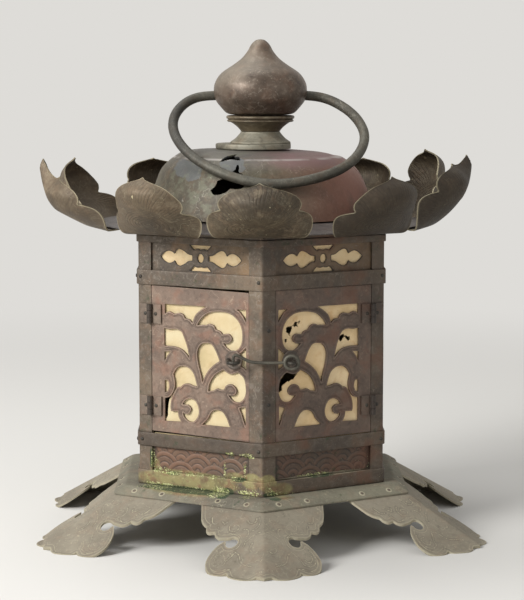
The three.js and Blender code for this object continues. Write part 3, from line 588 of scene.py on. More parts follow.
verdigris = {
    'lime': '9aa55e', 'crust': 'd9dba6', 'deep': '30452e', 'ochre': '948d5e', 'rust': '86694a',
    'olive': '5a5236', 'grit': 'b3ad7c',
    # places on the two front walls, in millimetres: {wall's azimuth: (across, height, half axes, how much)}
    'stains': {
        -30: [(-10, 42.4, 48, 8.5, 1), (40, 47.5, 9, 6.5, 0.9), (-36, 50, 5, 7, 0.5),
            (26, 48.5, 11, 4.5, 0.6)],
        30: [(-44, 46.5, 8, 7, 1), (-36, 41.5, 14, 6, 0.65)],
    },
    'crusts': {
        -30: [(-32, 38.4, 20, 2.1, 0.85), (-4, 38.2, 20, 1.7, 0.6), (17, 38.8, 10, 3.8, 1),
            (38, 39.4, 12, 2.8, 1), (-40, 43.5, 5, 4.5, 0.35), (4, 46.8, 40, 1.6, 0.5),
            (-36.5, 52.5, 2.4, 7.5, 0.8), (-30, 48.2, 9, 2.2, 0.85), (18.2, 52, 1.6, 8.5, 0.8),
            (33.6, 53.5, 1.5, 7.5, 0.8), (27, 48.4, 8, 2.4, 0.6), (24, 64.6, 5, 1.8, 0.9),
            (37, 64.4, 7.5, 2.4, 1), (30, 42.5, 12, 3.5, 0.5), (-37.6, 55.5, 1.3, 9.5, 1),
            (-34.5, 48.6, 4.5, 3, 1), (-23, 46.9, 9, 1.5, 1), (-5, 47.3, 12, 1.1, 0.9),
            (10, 47.2, 6, 1.4, 1), (18, 50.5, 1.3, 7.5, 1), (33.5, 53, 1.2, 7, 1), (26, 47.6, 5, 1.8, 0.9),
            (23.6, 63.9, 3, 1.6, 1.2), (37.5, 63.8, 6.5, 1.8, 1.2), (-31, 39, 19, 1.2, 1),
            (2, 38.6, 12, 1, 0.8), (41, 40.5, 5, 4, 0.7)],
        30: [(-40, 39.6, 8, 2.4, 0.8), (-28, 38.6, 9, 1.1, 0.7), (-8, 48.7, 17, 1.7, 0.85),
            (20, 48.4, 12, 1.1, 0.6), (36.6, 54, 1.3, 8, 0.5), (45, 43.5, 2.6, 4.5, 0.5),
            (-43.5, 41.5, 5, 3.2, 0.7), (-6, 48.3, 16, 1, 1)],
    },
    'seams': {
        -30: [(-8, 37.9, 46, 1.5, 0.8), (22, 38.8, 7, 3.2, 0.8), (30, 47.6, 6, 1.8, 0.8),
            (-38.6, 56, 1.2, 9, 0.8), (-20, 46.8, 7, 1.6, 0.8)],
        30: [(-43, 38.8, 7, 2.6, 0.8), (-2, 47.6, 14, 1.3, 0.5)],
    },
}
# Painted shade for the walls right of the front corner (its dark tone), their red patches, the darkening low
# on the left and a dusty line
shadeAndDustSet = {
    'dark': '2a2320', 'red': '64402f', 'dust': '9c937c', 'corner': 0.0012,
    'sill': (0.0625, 0.0645, 0.0755, 0.073),
    'dusty': {-30: [(0, 47.9, 40, 0.9, 0.5)], 30: [(0, 47.9, 44, 1, 1)]},
}


def onWalls(f, spots):
    # The largest of smooth ellipses on the front walls: across = x cos a + y sin a, out = x sin a - y cos a,
    # and each is 1 in its middle and 0 where (across / half)^2 + (height / half)^2 reaches 1
    x, y, z = f.axes()
    total = None
    for azimuth, rows in spots.items():
        a = math.radians(azimuth)
        across, out = x * math.cos(a) + y * math.sin(a), x * math.sin(a) - y * math.cos(a)
        facing = out.step(0.076, 0.0795)
        for u, height, halfU, halfZ, amount in rows:
            oval = ovalOf(across - u * mm, z - height * mm, halfU * mm, halfZ * mm)
            spot = oval.step(1.0, 0.25) * facing * amount
            total = spot if total is None else total.most(spot)
    return total


def mossy(f):
    # Verdigris where water stood: an olive stain, fine flecks of pale lime, and dark green along the seams,
    # each a smooth step of its places with two noises added
    v = verdigris
    fleck, patch = f.noise(980, 3, 0.7, 0.3), f.noise(150, 4, 0.6)
    stain = (onWalls(f, v['stains']) + patch * 0.6 - 0.3).step(0.1, 0.7)
    wash = f.mix(patch.step(0.44, 0.62), v['ochre'], v['rust'])
    wash = f.mix(f.cloud.step(0.52, 0.4) * 0.5, wash, v['olive'])
    wash = f.mix(f.grain.step(0.55, 0.68) * 0.5, wash, v['grit'])
    f.over(stain * 0.75, wash)
    seam = (onWalls(f, v['seams']) * 0.4 + patch * 0.9 + fleck * 0.25).step(0.66, 0.86)
    f.over(seam * 0.8, v['deep'])
    crust = (onWalls(f, v['crusts']) * 0.27 + fleck * 1.15 - 0.05).step(0.77, 0.83)
    f.over(crust * 0.92, f.mix(f.grain.step(0.42, 0.52), v['lime'], v['crust']))
    f.rough = f.rough + (crust + seam) * 0.3
    f.height = f.height + crust * 0.3


def rightShadeAndDust(f):
    # The walls to the right of the front corner get a painted shade, as they face away from the key lamp, and
    # red-brown patches; the left ones are darker low down; dust lies along the lowest strap
    x, y, z = f.axes()
    patch = f.noise(46, 4, 0.55)
    right = x.step(-shadeAndDustSet['corner'], shadeAndDustSet['corner'])
    foot, fullFoot, top, fullTop = shadeAndDustSet['sill']
    low = z.step(foot, fullFoot) * z.step(top, fullTop) * (1 - right) * 0.5
    # painted shade on the walls right of the front corner, and the left ones darker low down
    f.over(right * 0.42 + low, shadeAndDustSet['dark'])
    f.over(right * patch.step(0.52, 0.66) * 0.4, shadeAndDustSet['red'])
    f.over(onWalls(f, shadeAndDustSet['dusty']) * 0.6, shadeAndDustSet['dust'])


wallLook = {
    'base': '6e6050', 'dark': '564c41', 'warm': '765a45', 'pale': '989086', 'sootAndShade': '2e2926', 'rubAndHighlight': '9c9183',
    'warmShare': 0.45, 'paleShare': 0.4,
}
doorLook = {
    'base': '806d5f', 'dark': '6a5a4f', 'warm': '846150', 'pale': '9f8d7c', 'sootAndShade': '2e2623', 'rubAndHighlight': 'ad9781',
}


def vineCarving(f):
    # Two fine lines follow each opening of the vine, and its stems are a little crowned between them, and a
    # painted highlight runs just inside each opening's edge
    edge, ornament = f.attribute('edge'), f.attribute('ornament')
    lines = grooveAt(edge, 1.15, 0.26).most(grooveAt(edge, 1.9, 0.24) * 0.6) * ornament
    crown = edge.step(0, 0.8) * ornament
    beads = (f.noise(520, 2, 0.5) - 0.5) * ornament
    # painted highlight just inside each opening's edge, where it catches the light
    edgeHighlight = grooveAt(edge, 0.62, 0.3) * ornament
    return crown * 0.08 - lines * 0.25 + beads * 0.3, lines * 0.5, edgeHighlight * 0.3


wallCopper = patina('wallCopper', wallLook, extra=(rightShadeAndDust, mossy))
doorCopper = patina('doorCopper', doorLook, vineCarving, (rightShadeAndDust,))
panelCopper = patina('panelCopper', wallLook, vineCarving, (rightShadeAndDust,))
print('wall finishes made')


bandSet = {'thick': 1.0, 'bevel': 0.4, 'sway': 0.16}


def strapSection(outer, low, high):
    # A flat strap, counter-clockwise from its inner foot, with the outer edges rounded
    inner, b = outer - bandSet['thick'], bandSet['bevel']
    turn = np.radians([0, 30, 60, 90])
    foot = np.column_stack([outer - b + b * np.sin(turn), low + b - b * np.cos(turn)])
    top = np.column_stack([outer - b + b * np.cos(turn), high - b + b * np.sin(turn)])
    middle = np.column_stack([np.full(3, outer), np.linspace(low, high, 5)[1:-1]])
    return np.vstack([[(inner, low)], foot, middle, top, [(inner, high)]])


for number, band in enumerate(('bottom', 'lower', 'upper', 'top')):
    points, faces, values = hexSweep(strapSection(wall['strap'] - bandSet['sway'], *level[band + 'Band']))
    points = uneven(points, bandSet['sway'] * 0.8, 3.1 * number)
    putMesh('strap_' + band + '_band', (points, faces, values), wallCopper, [band + '_band'])


postSet = {'leg': 10.0, 'thick': 1.2, 'bend': 0.7, 'sway': 0.1}


def cornerPost(azimuth):
    # Across s cos30 and out corner - sin30 sqrt(s^2 + bend^2), the fold of a strip bent to 120 degrees
    leg, bend = postSet['leg'], postSet['bend']
    s = np.concatenate([np.linspace(-leg, -2, 7), np.linspace(-1.4, 1.4, 9), np.linspace(2, leg, 7)])
    z = np.linspace(level['bottomBand'][0], level['topBand'][1], 36)
    ss, zz = np.meshgrid(s, z, indexing='ij')
    soft = np.sqrt(ss ** 2 + bend ** 2)
    sway = postSet['sway'] * wobble(ss + azimuth, ss, zz, azimuth)
    front = np.stack([ss * cos30, -(wall['post'] / cos30 - soft / 2) + np.abs(sway), zz], axis=-1)
    normal = np.stack([ss / soft / 2, -cos30 + 0 * ss, 0 * ss], axis=-1)
    normal /= np.linalg.norm(normal, axis=-1, keepdims=True)
    return turnedTo(sheetOf(front, front - postSet['thick'] * normal), azimuth)


for number, corner in enumerate(cornerNames):
    putMesh('post_' + corner, cornerPost(60 * number), wallCopper, ['corner_post_' + corner])
print('straps and posts')


# Openings of the vine, in a window 64 by 80 with the hinges at x = 0 and the sill at y = 0. Each is a list of
# smooth runs (across, up, across, up ...) that meet at corners.
vineOpenings = {
    'aboveHingeLeaf': [(0.5, 80, 33.5, 80), (29, 77.5, 24.5, 73.5, 22.5, 68), (20, 70.5, 16.5, 71),
        (15, 73.5, 12, 74.5, 8, 73.5), (6, 74.5, 3.5, 75, 0.5, 73)],
    'underHingeLeaf': [(0, 63.5, 4.5, 63, 9, 63.5, 13.5, 62, 16, 57.5, 18, 52.5, 20, 44),
        (16.5, 48, 12.5, 50.5, 7.5, 51.5, 3, 51.5, 0, 51.5)],
    'hingeWedge': [(0, 47.5, 5, 48), (2, 44.5, 0, 40.5)],
    'hingeArch': [(26, 25.5, 24.5, 30.5, 22.5, 35, 18.5, 38, 13.5, 38.5, 9.5, 36.5, 7, 32.5),
        (8, 28.5, 8, 23.5, 5.5, 18.5, 3, 16.5, 0, 16), (0, 0), (13, 0.5), (11, 4, 10.5, 7.5), (5, 7),
        (4.5, 10.5, 5.5, 16, 9, 22.5), (10.5, 24, 12.5, 24), (15.5, 26.5, 19, 27, 22.5, 26)],
    'hingeCurlEye': [(0, 28, 2.5, 28, 3.5, 24.5, 2.5, 21, 0, 19.5)],
    'footScroll': [(14, 12.5, 16.5, 15.5, 20.5, 17, 24.5, 15.5, 27, 10.5, 26.5, 5.5, 23, 1.5, 19, 1.5,
        15.5, 4, 14.5, 7), (17.5, 6, 20, 7.5, 21, 10.5, 18.5, 12.5)],
    'drop': [(30, 28.5, 29, 33.5, 27, 40.5, 26, 47, 27, 51.5, 29.5, 54.5, 33, 55.5, 37, 55, 40, 51.5,
        42, 47.5, 43.5, 44), (39.5, 41.5, 35, 37.5, 32, 33)],
    'topScroll': [(26, 67, 29.5, 72, 34.5, 75.5, 41, 77, 47.5, 77, 53, 75.5, 58, 71.5, 60.5, 66.5, 61, 61,
        60, 56, 57, 52.5, 53, 51.5, 49.5, 53, 46, 56.5),
        (49, 56, 52, 57.5, 53, 60, 51, 62.5, 48, 62.5, 45.5, 62), (44, 64, 40.5, 65),
        (39, 67.5, 35.5, 68.5, 33, 67.5), (30, 67.5)],
    'topCorner': [(56, 79.5, 64, 79.5), (64, 71), (61.5, 75, 59, 78)],
    'latchGap': [(64, 54.5), (61.5, 52, 58.5, 49.5), (60.5, 45.5, 60, 41.5), (62.5, 40.5, 64, 39)],
    'midScroll': [(34.5, 23, 35.5, 28, 38.5, 33, 42, 36, 46.5, 38.5), (49.5, 36.5, 53, 36, 57.5, 37.5),
        (62, 34, 63.5, 28.5, 63.5, 23.5, 61.5, 19.5, 58, 17.5, 54, 18, 50, 22),
        (53, 21.5, 55.5, 22.5, 56.5, 25.5, 54, 28.5, 50.5, 29, 48, 27.5), (46.5, 25, 43.5, 25),
        (41.5, 25.5, 39, 24)],
    'footArch': [(29.5, 0, 34, 4, 37, 9, 41.5, 11, 45.5, 10, 48.5, 6.5, 51.5, 0)],
    'footCorner': [(58.5, 13.5, 63.5, 15), (63.5, 1.5), (62, 5, 60.5, 9.5)],
}
vineWindow = {
    'drawn': (64, 80), 'left': -27.69, 'wide': 63.18, 'sill': 82.06, 'high': 79.7, 'near': 6, 'far': 30.0,
}
vineScale = (vineWindow['wide'] / vineWindow['drawn'][0], vineWindow['high'] / vineWindow['drawn'][1])
vineLines = [smoothRuns(runs, 5) * vineScale + (vineWindow['left'], vineWindow['sill'])
             for runs in vineOpenings.values()]


def vineFields(u, v):
    # Distance out from the openings (negative inside one) and 1 within the window
    w, points = vineWindow, flatPoints(u, v)
    away = np.full(len(points), w['far'])
    for line in vineLines:
        near = ((points > line.min(0) - w['near']) & (points < line.max(0) + w['near'])).all(1)
        away[near] = np.minimum(away[near], signedAway(points[near], line))
    beyond = np.maximum(np.maximum(w['left'] - u, u - w['left'] - w['wide']),
                        np.maximum(w['sill'] - v, v - w['sill'] - w['high']))
    return away.reshape(u.shape), np.clip(0.2 - beyond, 0, 1)


def piercedSheet(u, v, rim, away, ornament, out, thick):
    # A sheet kept inside its rim and outside its openings; it carries how far from them each point is
    values = {'edge': np.clip(away, 0, 9), 'ornament': ornament}
    return trimmedSheet(*twoSides(u, v, out, thick), np.minimum(rim, away), values)


doorSet = {
    'half': 37.49, 'foot': 73.563, 'top': 173.763, 'thick': 1.2, 'cell': 0.72, 'dent': 0.22,
    'sag': {'left': 1.3, 'right': 0.0},
}


def doorSheet(name, side):
    # The left door's sheet, hinged at its left, or its mirror image; a door that sags hangs lower at its free
    # edge, and gapes at the hinge side below
    s = doorSet
    half, foot, top, sag = s['half'], s['foot'], s['top'], s['sag'][name]
    u, v, rim = plateGrid(-half, half, foot, top, s['cell'])
    share = np.clip((u + half) / (2 * half), 0, 1)
    rim = np.minimum(rim, np.minimum(top - sag * share - v, v - foot - sag * (1 - share)))
    bulge = s['dent'] * (wobble(u, u + side, v, 7 * side) - 1)
    points, faces, values = piercedSheet(u, v, rim, *vineFields(u, v), wall['door'] + bulge, s['thick'])
    if side > 0:
        points, faces = points * (-1, 1, 1), [f[:, ::-1] for f in faces]
    return turnedTo((points, faces, values), 30 * side)


for name, side in sides:
    putMesh('vine_door_' + name, doorSheet(name, side), doorCopper, ['door_' + name],
            name + '_door', sharp=50)
print('doors')


panelSet = {'half': 46.2, 'foot': 66.36, 'top': 176.16, 'thick': 0.9, 'cell': 0.85, 'dent': 0.12}


def panelSheet(azimuth):
    # A fixed wall sheet with the same vine
    s = panelSet
    u, v, rim = plateGrid(-s['half'], s['half'], s['foot'], s['top'], s['cell'])
    bulge = s['dent'] * (wobble(u, v, u + azimuth, azimuth) - 1)
    sheet = piercedSheet(u, v, rim, *vineFields(u, v), wall['panel'] + bulge, s['thick'])
    return turnedTo(sheet, azimuth)


for name, azimuth in (('right', 90), ('back_right', 150), ('back_left', 210), ('left', 270)):
    putMesh('vine_panel_' + name, panelSheet(azimuth), panelCopper, ['side_panel_' + name],
            sharp=50)
print('side panels')


paperLook = {
    'cream': 'dcc59b', 'pale': 'e8d9b5', 'stain': 'b88a55', 'fleck': '7b5f3d', 'grey': 'ad9a6c',
    'leftPaperShade': '958a66', 'tan': 'd3a972', 'rough': 0.92,
}


def paperFinish():
    # Cream paper with pale clouds, stains and fine fibres. The front paper at the left gets a painted shade
    # of grey, as it lies in shade behind its door's openings; the one at the right, and those of the frieze,
    # are tan.
    f = Finish('oldPaper')
    look = paperLook
    broad, stain, fibre = f.noise(38, 4, 0.55), f.noise(75, 6, 0.65, 0.5), f.noise(900, 3, 0.6)
    f.colour = look['cream']
    f.over(broad.step(0.35, 0.68), look['pale'])
    f.over(stain.step(0.5, 0.76) * 0.6, look['stain'])
    f.over(broad.step(0.46, 0.3) * 0.4, look['grey'])
    f.over(fibre.step(0.66, 0.78) * 0.5, look['fleck'])
    x, y, z = f.axes()
    front, frieze = y.step(-0.036, -0.042), z.step(0.172, 0.176)
    # painted shade on the front paper at the left
    f.over(front * (1 - frieze) * x.step(0.001, -0.001) * 0.38, look['leftPaperShade'])
    f.over(front * (x.step(-0.001, 0.001) * (1 - frieze)).most(frieze * 0.9) * 0.34, look['tan'])
    f.set(Base_Color=f.colour, Roughness=look['rough'], Normal=f.bump(stain * 0.5 + fibre * 0.12))
    return f.material


oldPaper = paperFinish()
paperSet = {
    'outer': 81.45, 'thick': 0.45, 'left': -32.6, 'right': 36.5, 'foot': 77.8, 'top': 167.8, 'cell': 0.9,
    'wave': 0.35, 'fray': 0.6,
}
# Tears, traced on each paper as seen from outside: across and height in millimetres
paperTears = {
    'left': [
        (-31.5, 99.8, -23.8, 99.4, -25.2, 96, -25.8, 90.3, -26.6, 85, -28.2, 83.6, -31.5, 84.4),
    ],
    'right': [
        (-29.4, 148.3, -26.6, 149.5, -24, 149.4, -24.6, 146.7, -25.2, 145.4, -25.7, 143, -26.8, 144.5,
            -28.7, 146.3, -27.8, 147.1),
        (-23.9, 149.8, -22.7, 150.6, -22.1, 151.8, -20.3, 151.8, -19.5, 148.6, -21.1, 149.3, -22.3, 148.9),
        (-19.7, 152.2, -17.8, 152.7, -18.2, 151.2),
        (-30.1, 140.8, -28.8, 141.6, -27.9, 140.3, -28.8, 138.9, -29.6, 140),
        (12.2, 139.5, 13.8, 140.8, 16.2, 141.6, 17.8, 140.6, 21.7, 139.1, 21.3, 137.5, 19.5, 137,
            17.6, 139.4, 15.8, 138.5, 14.2, 136.8, 12.7, 138),
        (-30.8, 119.1, -27.5, 119.8, -20.2, 119, -22.4, 115, -24.7, 113.7, -28.6, 112.6, -31.5, 110.5,
            -32, 107.4, -34, 105.9, -35.8, 107.6, -35, 110.5, -33.8, 113.3, -32.5, 115.3, -30.9, 117),
    ],
}


def ragged(points, seed, size):
    # Fine jitter for a torn edge: quick sines along both axes
    a, b = points.T
    broad = np.sin(3.1 * a + seed) * np.cos(2.7 * b + 2 * seed)
    return size * (broad + 0.5 * np.sin(6.3 * b - 4.9 * a + seed))


def doorPaper(name, side):
    # A thin sheet behind the door with its tears left out, waved a little inwards
    s = paperSet
    left, right = (s['left'], s['right']) if side < 0 else (-s['right'], -s['left'])
    u, v, field = plateGrid(left, right, s['foot'], s['top'], s['cell'])
    flat = flatPoints(u, v)
    for number, tear in enumerate(paperTears[name]):
        hole = signedAway(flat, closedRun(tear)) + ragged(flat, number, s['fray'])
        field = np.minimum(field, hole.reshape(u.shape))
    wave = s['wave'] * (wobble(u * 2, v, u + v, side) - 1)
    return turnedTo(trimmedSheet(*twoSides(u, v, s['outer'] + wave, s['thick']), field), 30 * side)


for name, side in sides:
    putMesh('torn_paper_' + name, doorPaper(name, side), oldPaper, ['door_paper_' + name],
            name + '_door')
print('papers')


friezeSet = {
    'half': 46.3, 'foot': 176.46, 'top': 207.36, 'middle': 193.36, 'thick': 0.9, 'cell': 0.7, 'dent': 0.1,
    'eye': 2.4, 'eyeTall': 1.25, 'eyeAround': 28,
    # upper half of one side's double lobe, from its far point to its blunt end beside the middle
    'lobe': [(-31, 0, -28.5, 2.6, -25, 4.1, -21.8, 3.4, -20.2, 2.2),
             (-18.5, 4.9, -16, 5.6, -12.5, 4.2, -9.5, 2.3, -6.3, 1.8)],
    'cap': [(-8.3, 8.6, 8.3, 8.6), (5, 5.4), (2.5, 6.2, 0, 5.6), (-2.5, 6.2, -5, 5.4)],
}


def friezeOpenings():
    # A lobe to each side, a cap above and one below, and the eye: a circle drawn taller
    s = friezeSet
    half = smoothRuns(s['lobe'], 5)
    lobe = np.vstack([half, half[:0:-1] * (1, -1)])
    cap = smoothRuns(s['cap'], 4)
    turn = fullTurn(s['eyeAround'])
    eye = s['eye'] * np.column_stack([np.cos(turn), s['eyeTall'] * np.sin(turn)])
    return [line + (0, s['middle']) for line in (lobe, lobe * (-1, 1), cap, cap * (1, -1), eye)]


def friezeFace(azimuth):
    # One of six flat sheets, kept outside its openings
    s = friezeSet
    u, v, rim = plateGrid(-s['half'], s['half'], s['foot'], s['top'], s['cell'])
    flat = flatPoints(u, v)
    away = np.min([signedAway(flat, line) for line in friezeOpenings()], axis=0).reshape(u.shape)
    bulge = s['dent'] * (wobble(u, v, u + azimuth, azimuth + 2) - 1)
    return turnedTo(piercedSheet(u, v, rim, away, 1.0 + 0 * u, wall['panel'] + bulge, s['thick']), azimuth)


def friezeEdgeShade(f):
    # Painted shade: one dark line follows each opening, where the sheet's thickness shades it, with a slight
    # dip
    line = f.attribute('edge').step(1.0, 0.3)
    return line * -0.1, line * 0.6, 0.0


# the dark tone of this finish draws the painted shade round the openings
friezeCopper = patina('friezeCopper', {**wallLook, 'base': '8c7356', 'warm': '84644a'}, friezeEdgeShade,
                      (rightShadeAndDust,))
putMesh('pierced_frieze', joinedParts([friezeFace(azimuth) for azimuth in faceAzimuths]),
        friezeCopper, ['frieze'], sharp=50)
print('frieze')


waveSet = {
    'half': 46.3, 'foot': 37.863, 'top': 66.06, 'thick': 0.9, 'cell': 0.55, 'spacing': 26.0, 'radius': 12.1,
    'rows': 4, 'rowRise': 6.1, 'firstUp': 43.2, 'aside': -10.1, 'period': 3.5, 'groove': 0.6, 'height': 0.45,
    'fadeHalf': 36.5, 'fade': 2.5, 'uneven': 0.5,
}


def waveRelief(u, v):
    # Overlapping discs, lower rows in front, with concentric grooves: each groove is a smooth dip of its own
    # width where (radius - distance) / period is a whole number, the disc's edge among them
    w = waveSet
    relief = np.zeros_like(u)
    for row in reversed(range(w['rows'])):
        shift = w['aside'] + w['spacing'] / 2 * (row % 2)
        number = np.round((u - shift) / w['spacing'])
        across = (u - shift) - w['spacing'] * number
        radius = w['radius'] + w['uneven'] * np.sin(2.3 * number + 1.7 * row)
        distance = np.hypot(across, v - (w['firstUp'] + row * w['rowRise']))
        turns = (radius - distance) / w['period']
        away = np.abs(turns - np.round(turns)) * w['period']
        ridge = np.clip(away / w['groove'], 0, 1) ** 1.5
        relief = np.where(distance < radius, ridge * (0.8 + 0.2 * np.sin(turns * np.pi)), relief)
    return relief


def waveFace(azimuth):
    # One face of the skirt, whose relief fades near the posts
    w = waveSet
    u = np.linspace(-w['half'], w['half'], int(2 * w['half'] / w['cell']))
    v = np.linspace(w['foot'], w['top'], int((w['top'] - w['foot']) / w['cell']))
    uu, vv = np.meshgrid(u, v, indexing='ij')
    fade = (np.clip((w['fadeHalf'] - np.abs(uu)) / w['fade'], 0, 1)
            * np.clip((vv - level['bottomBand'][1] + 1) / 2, 0, 1))
    relief = waveRelief(-uu if azimuth % 120 == 90 else uu, vv) * fade
    shown = 0.75 + 0.25 * wobble(uu, vv, uu, azimuth)
    depth = w['height'] * (1 - relief * shown)
    points, faces, _ = sheetOf(*twoSides(uu, vv, wall['panel'] - depth, w['thick']))
    return turnedTo((points, faces, {'relief': np.tile(relief.ravel(), 2)}), azimuth)


def waveCarving(f):
    # The ridges are rubbed to warm copper, and the dirt stays between them
    relief = f.attribute('relief')
    return relief * 0.06, relief.step(0.55, 0.1) * 0.6, relief.step(0.5, 0.95) * 0.35


waveCopper = patina('waveCopper', {**wallLook, 'base': '675143', 'rubAndHighlight': '815d49', 'pale': '7c6c5e'},
                    waveCarving, (rightShadeAndDust, mossy))
putMesh('wave_relief', joinedParts([waveFace(azimuth) for azimuth in faceAzimuths]),
        waveCopper, ['wave_skirt'])
print('wave skirt')


dustLook = {
    'base': '908877', 'dark': '7a7263', 'warm': '8d7b68', 'pale': 'aaa592', 'sootAndShade': '4f483e', 'rubAndHighlight': 'b9b297',
    'warmShare': 0.4, 'paleShare': 0.4, 'spots': 0.2, 'metal': 0.12, 'rough': 0.6, 'grit': 0.06, 'broad': 17,
    'dent': 0.3,
}
baseSet = {
    'ledge': 92.66, 'rim': 100.03, 'fall': 0.636, 'thick': 1.4, 'round': 0.3,
    'steps': (0, 40, 70, 84, 88, 90, 91, 92, 92.66, 93.4, 94.4, 96, 98),
}


def basePlate():
    # Height of the top: floor - fall (a - ledge + sqrt((a - ledge)^2 + 1)) / 2, flat inside, sloping outside
    s = baseSet
    a = np.array([*s['steps'], s['rim'] - s['round']])
    past = a - s['ledge']
    upper = np.column_stack([a, level['floor'] - s['fall'] * (past + np.sqrt(past ** 2 + 1)) / 2])
    under = upper - (0, s['thick'])
    lip = [(s['rim'], under[-1, 1] + s['round']), (s['rim'], upper[-1, 1] - s['round'])]
    return hexSweep(np.vstack([under, lip, upper[::-1]]))


dustyPlate = patina('dustyPlate', {**dustLook, 'base': '7f7b69', 'dark': '676256'}, extra=(mossy,))
putMesh('base_sheet', basePlate(), dustyPlate, ['base_plate'], weld=True)


footSet = {
    'slope': 0.5515, 'reach': 169.0, 'thick': 1.67, 'tip': 168.4, 'root': 107.3, 'crease': 1.2, 'cell': 0.8,
    'widest': 41.0, 'inner': 82.0, 'sway': 0.25, 'swayFrom': 20, 'least': 0.7,
    # half an outline, across and out: runs of smooth curve that meet at corners, then a round hook, as its
    # centre and radius, and the scroll
    'outline': [(40.2, 100.6), (40, 104, 38.7, 108, 36.6, 111.2), (36.9, 114.2, 35.2, 117.2, 31.3, 118.5),
        (30.9, 121.2, 28.8, 124.2, 25.6, 125.7, 22.6, 126.9)],
    'hook': (20.2, 131.3, 4.1),
    'scroll': [(24.2, 128.2, 29.6, 130.6, 34.3, 135.4, 37, 141, 36.6, 147, 33.6, 152.6, 28.8, 155.6,
        23.6, 155.2), (22.6, 159, 19.6, 163, 15, 166.4, 10, 166.8, 5, 165.4)],
    # engraved by a pointed tool
    'engraved': [
        (29.1, 114.9, 29.3, 118.6, 28.9, 121.4, 25.6, 122.9, 20.6, 124, 16.6, 127.2, 14.6, 131.6,
            15.4, 135.6, 18, 138),
        (18, 114.5, 19.9, 115.4, 21.8, 118, 21.3, 121.2, 18.6, 122.6, 16, 122, 15.6, 119.4, 17.4, 117.6,
            19.2, 118.6),
        (12.6, 123.4, 10, 125, 9.4, 128, 10.8, 130.4, 12.8, 130.4),
        (2.2, 117.6, 2, 122.4, 4.1, 125.8, 7.3, 127.2),
        (1.8, 130, 5.2, 130.6, 8.4, 132.1, 11.4, 134.3, 12.7, 137.3),
        (18.1, 140, 16, 143, 15.2, 146.4, 14.5, 150, 11.9, 153.2, 8.2, 155.8),
        (29.3, 134.6, 32, 137, 33.4, 140.4, 32.6, 144.6, 29.8, 147.6, 26.1, 147.8, 24.2, 145.2),
        (27.2, 138.8, 30.1, 138.4, 31.2, 141, 30.4, 143.6, 28.2, 144.8, 26.4, 143.4),
        (34.9, 139.6, 34.2, 146, 30.8, 150.8, 25.6, 151.6, 21.4, 152.8),
        (23.4, 144.6, 21.3, 143, 18.7, 140.8),
        (10, 115.6, 9.4, 118.6, 7.2, 120.6, 4.6, 120.4, 4, 117.6),
        (26.5, 111, 24.4, 114.6, 22.9, 112.6),
        (33, 105, 32.6, 110, 29.6, 112),
        (7, 137, 8.6, 141, 7.2, 145, 4.2, 146, 3.4, 143.2),
    ],
}


def footLines():
    # Half an outline: down the root, the outer curve, the round hook, and the scroll to the cusp
    s = footSet
    outer, scroll = smoothRuns(s['outline'], 6), smoothRuns(s['scroll'], 6)
    x, out, radius = s['hook']
    start = math.atan2(outer[-1, 1] - out, outer[-1, 0] - x)
    end = math.atan2(scroll[0, 1] - out, scroll[0, 0] - x)
    turn = np.linspace(start, start - (2 * np.pi - (end - start)), 22)[1:-1]
    hook = np.column_stack([x + radius * np.cos(turn), out + radius * np.sin(turn)])
    rootHalf = s['outline'][0][0]
    half = np.vstack([(rootHalf, s['root'] - rootHalf * tan30), outer, hook, scroll, (0, s['tip'])])
    return np.vstack([(0, s['root']), half, half[-2::-1] * (-1, 1)])


def footSheet():
    # Height of the underside: slope (reach - out - tan30 |across|), |across| softened at the crease
    s = footSet
    u, v, _ = plateGrid(-s['widest'], s['widest'], -s['tip'] - 1, -s['inner'], s['cell'])
    flat = flatPoints(u, -v)
    inside = -signedAway(flat, footLines()).reshape(u.shape)
    bothSides = np.column_stack([np.abs(flat[:, 0]), flat[:, 1]])
    swirl = np.min([awayFrom(bothSides, smoothRun(pairsOf(line), 5), closed=False) for line in s['engraved']],
                   axis=0)
    under = s['slope'] * (s['reach'] + v - tan30 * np.sqrt(u ** 2 + s['crease'] ** 2))
    sway = s['sway'] * np.clip(s['reach'] + v - s['swayFrom'], 0, 1) * wobble(u, v, u, 2)
    thinned = np.abs(sway) * 0.4
    low, high = np.maximum(under, 0) + thinned, np.maximum(under + s['thick'], s['least']) - thinned
    sheets = [np.stack([u, v, z], axis=-1) for z in (high, low)]
    return trimmedSheet(*sheets, inside, {'edge': np.clip(inside, 0, 12), 'swirl': swirl})


def footCarving(f):
    # An engraved line inside the edge and arabesques, rubbed pale, and an edge worn bright
    edge, swirl = f.attribute('edge'), f.attribute('swirl')
    worn = f.noise(60, 4, 0.6).step(0.36, 0.6)
    lines = (grooveAt(edge, 2.4, 0.3) * 0.5).most(grooveAt(swirl, 0, 0.38)) * (worn * 0.65 + 0.3)
    shade = (grooveAt(edge, 1.7, 0.6) * 0.5).most(grooveAt(swirl, 0.75, 0.5)) * worn
    return lines * -0.16, shade * 0.3, lines * 0.75 + edge.step(1.0, 0.2) * 0.35


dustyFoot = patina('dustyFoot', dustLook, footCarving)
frontFoot = footSheet()
for number, corner in enumerate(cornerNames):
    putMesh('scroll_foot_' + corner, turnedTo(frontFoot, 60 * number), dustyFoot,
            ['foot_' + corner])
print('base and feet')


roofLook = {
    'base': '565140', 'dark': '423b2e', 'warm': '64503c', 'pale': '706c5d', 'sootAndShade': '28231f', 'rubAndHighlight': '9d978c',
    'spots': 0.45, 'warmShare': 0.4, 'paleShare': 0.3, 'rough': 0.36, 'dent': 0.3, 'broad': 19,
}
roofTones = {
    'red': '8e5f50', 'brown': '6f5145', 'rosy': '9a7466', 'dust': '686562', 'bloom': '825f60',
    'olive': '6c6f5c', 'bare': '565a5c', 'ridgeShine': 'a7a19b', 'shoulderHighlight': 0.2577,
    # blue-grey patches, in metres: x, z and half axes
    'patches': ((-0.049, 0.2505, 0.010, 0.0062), (-0.0195, 0.2545, 0.0085, 0.0058)),
}


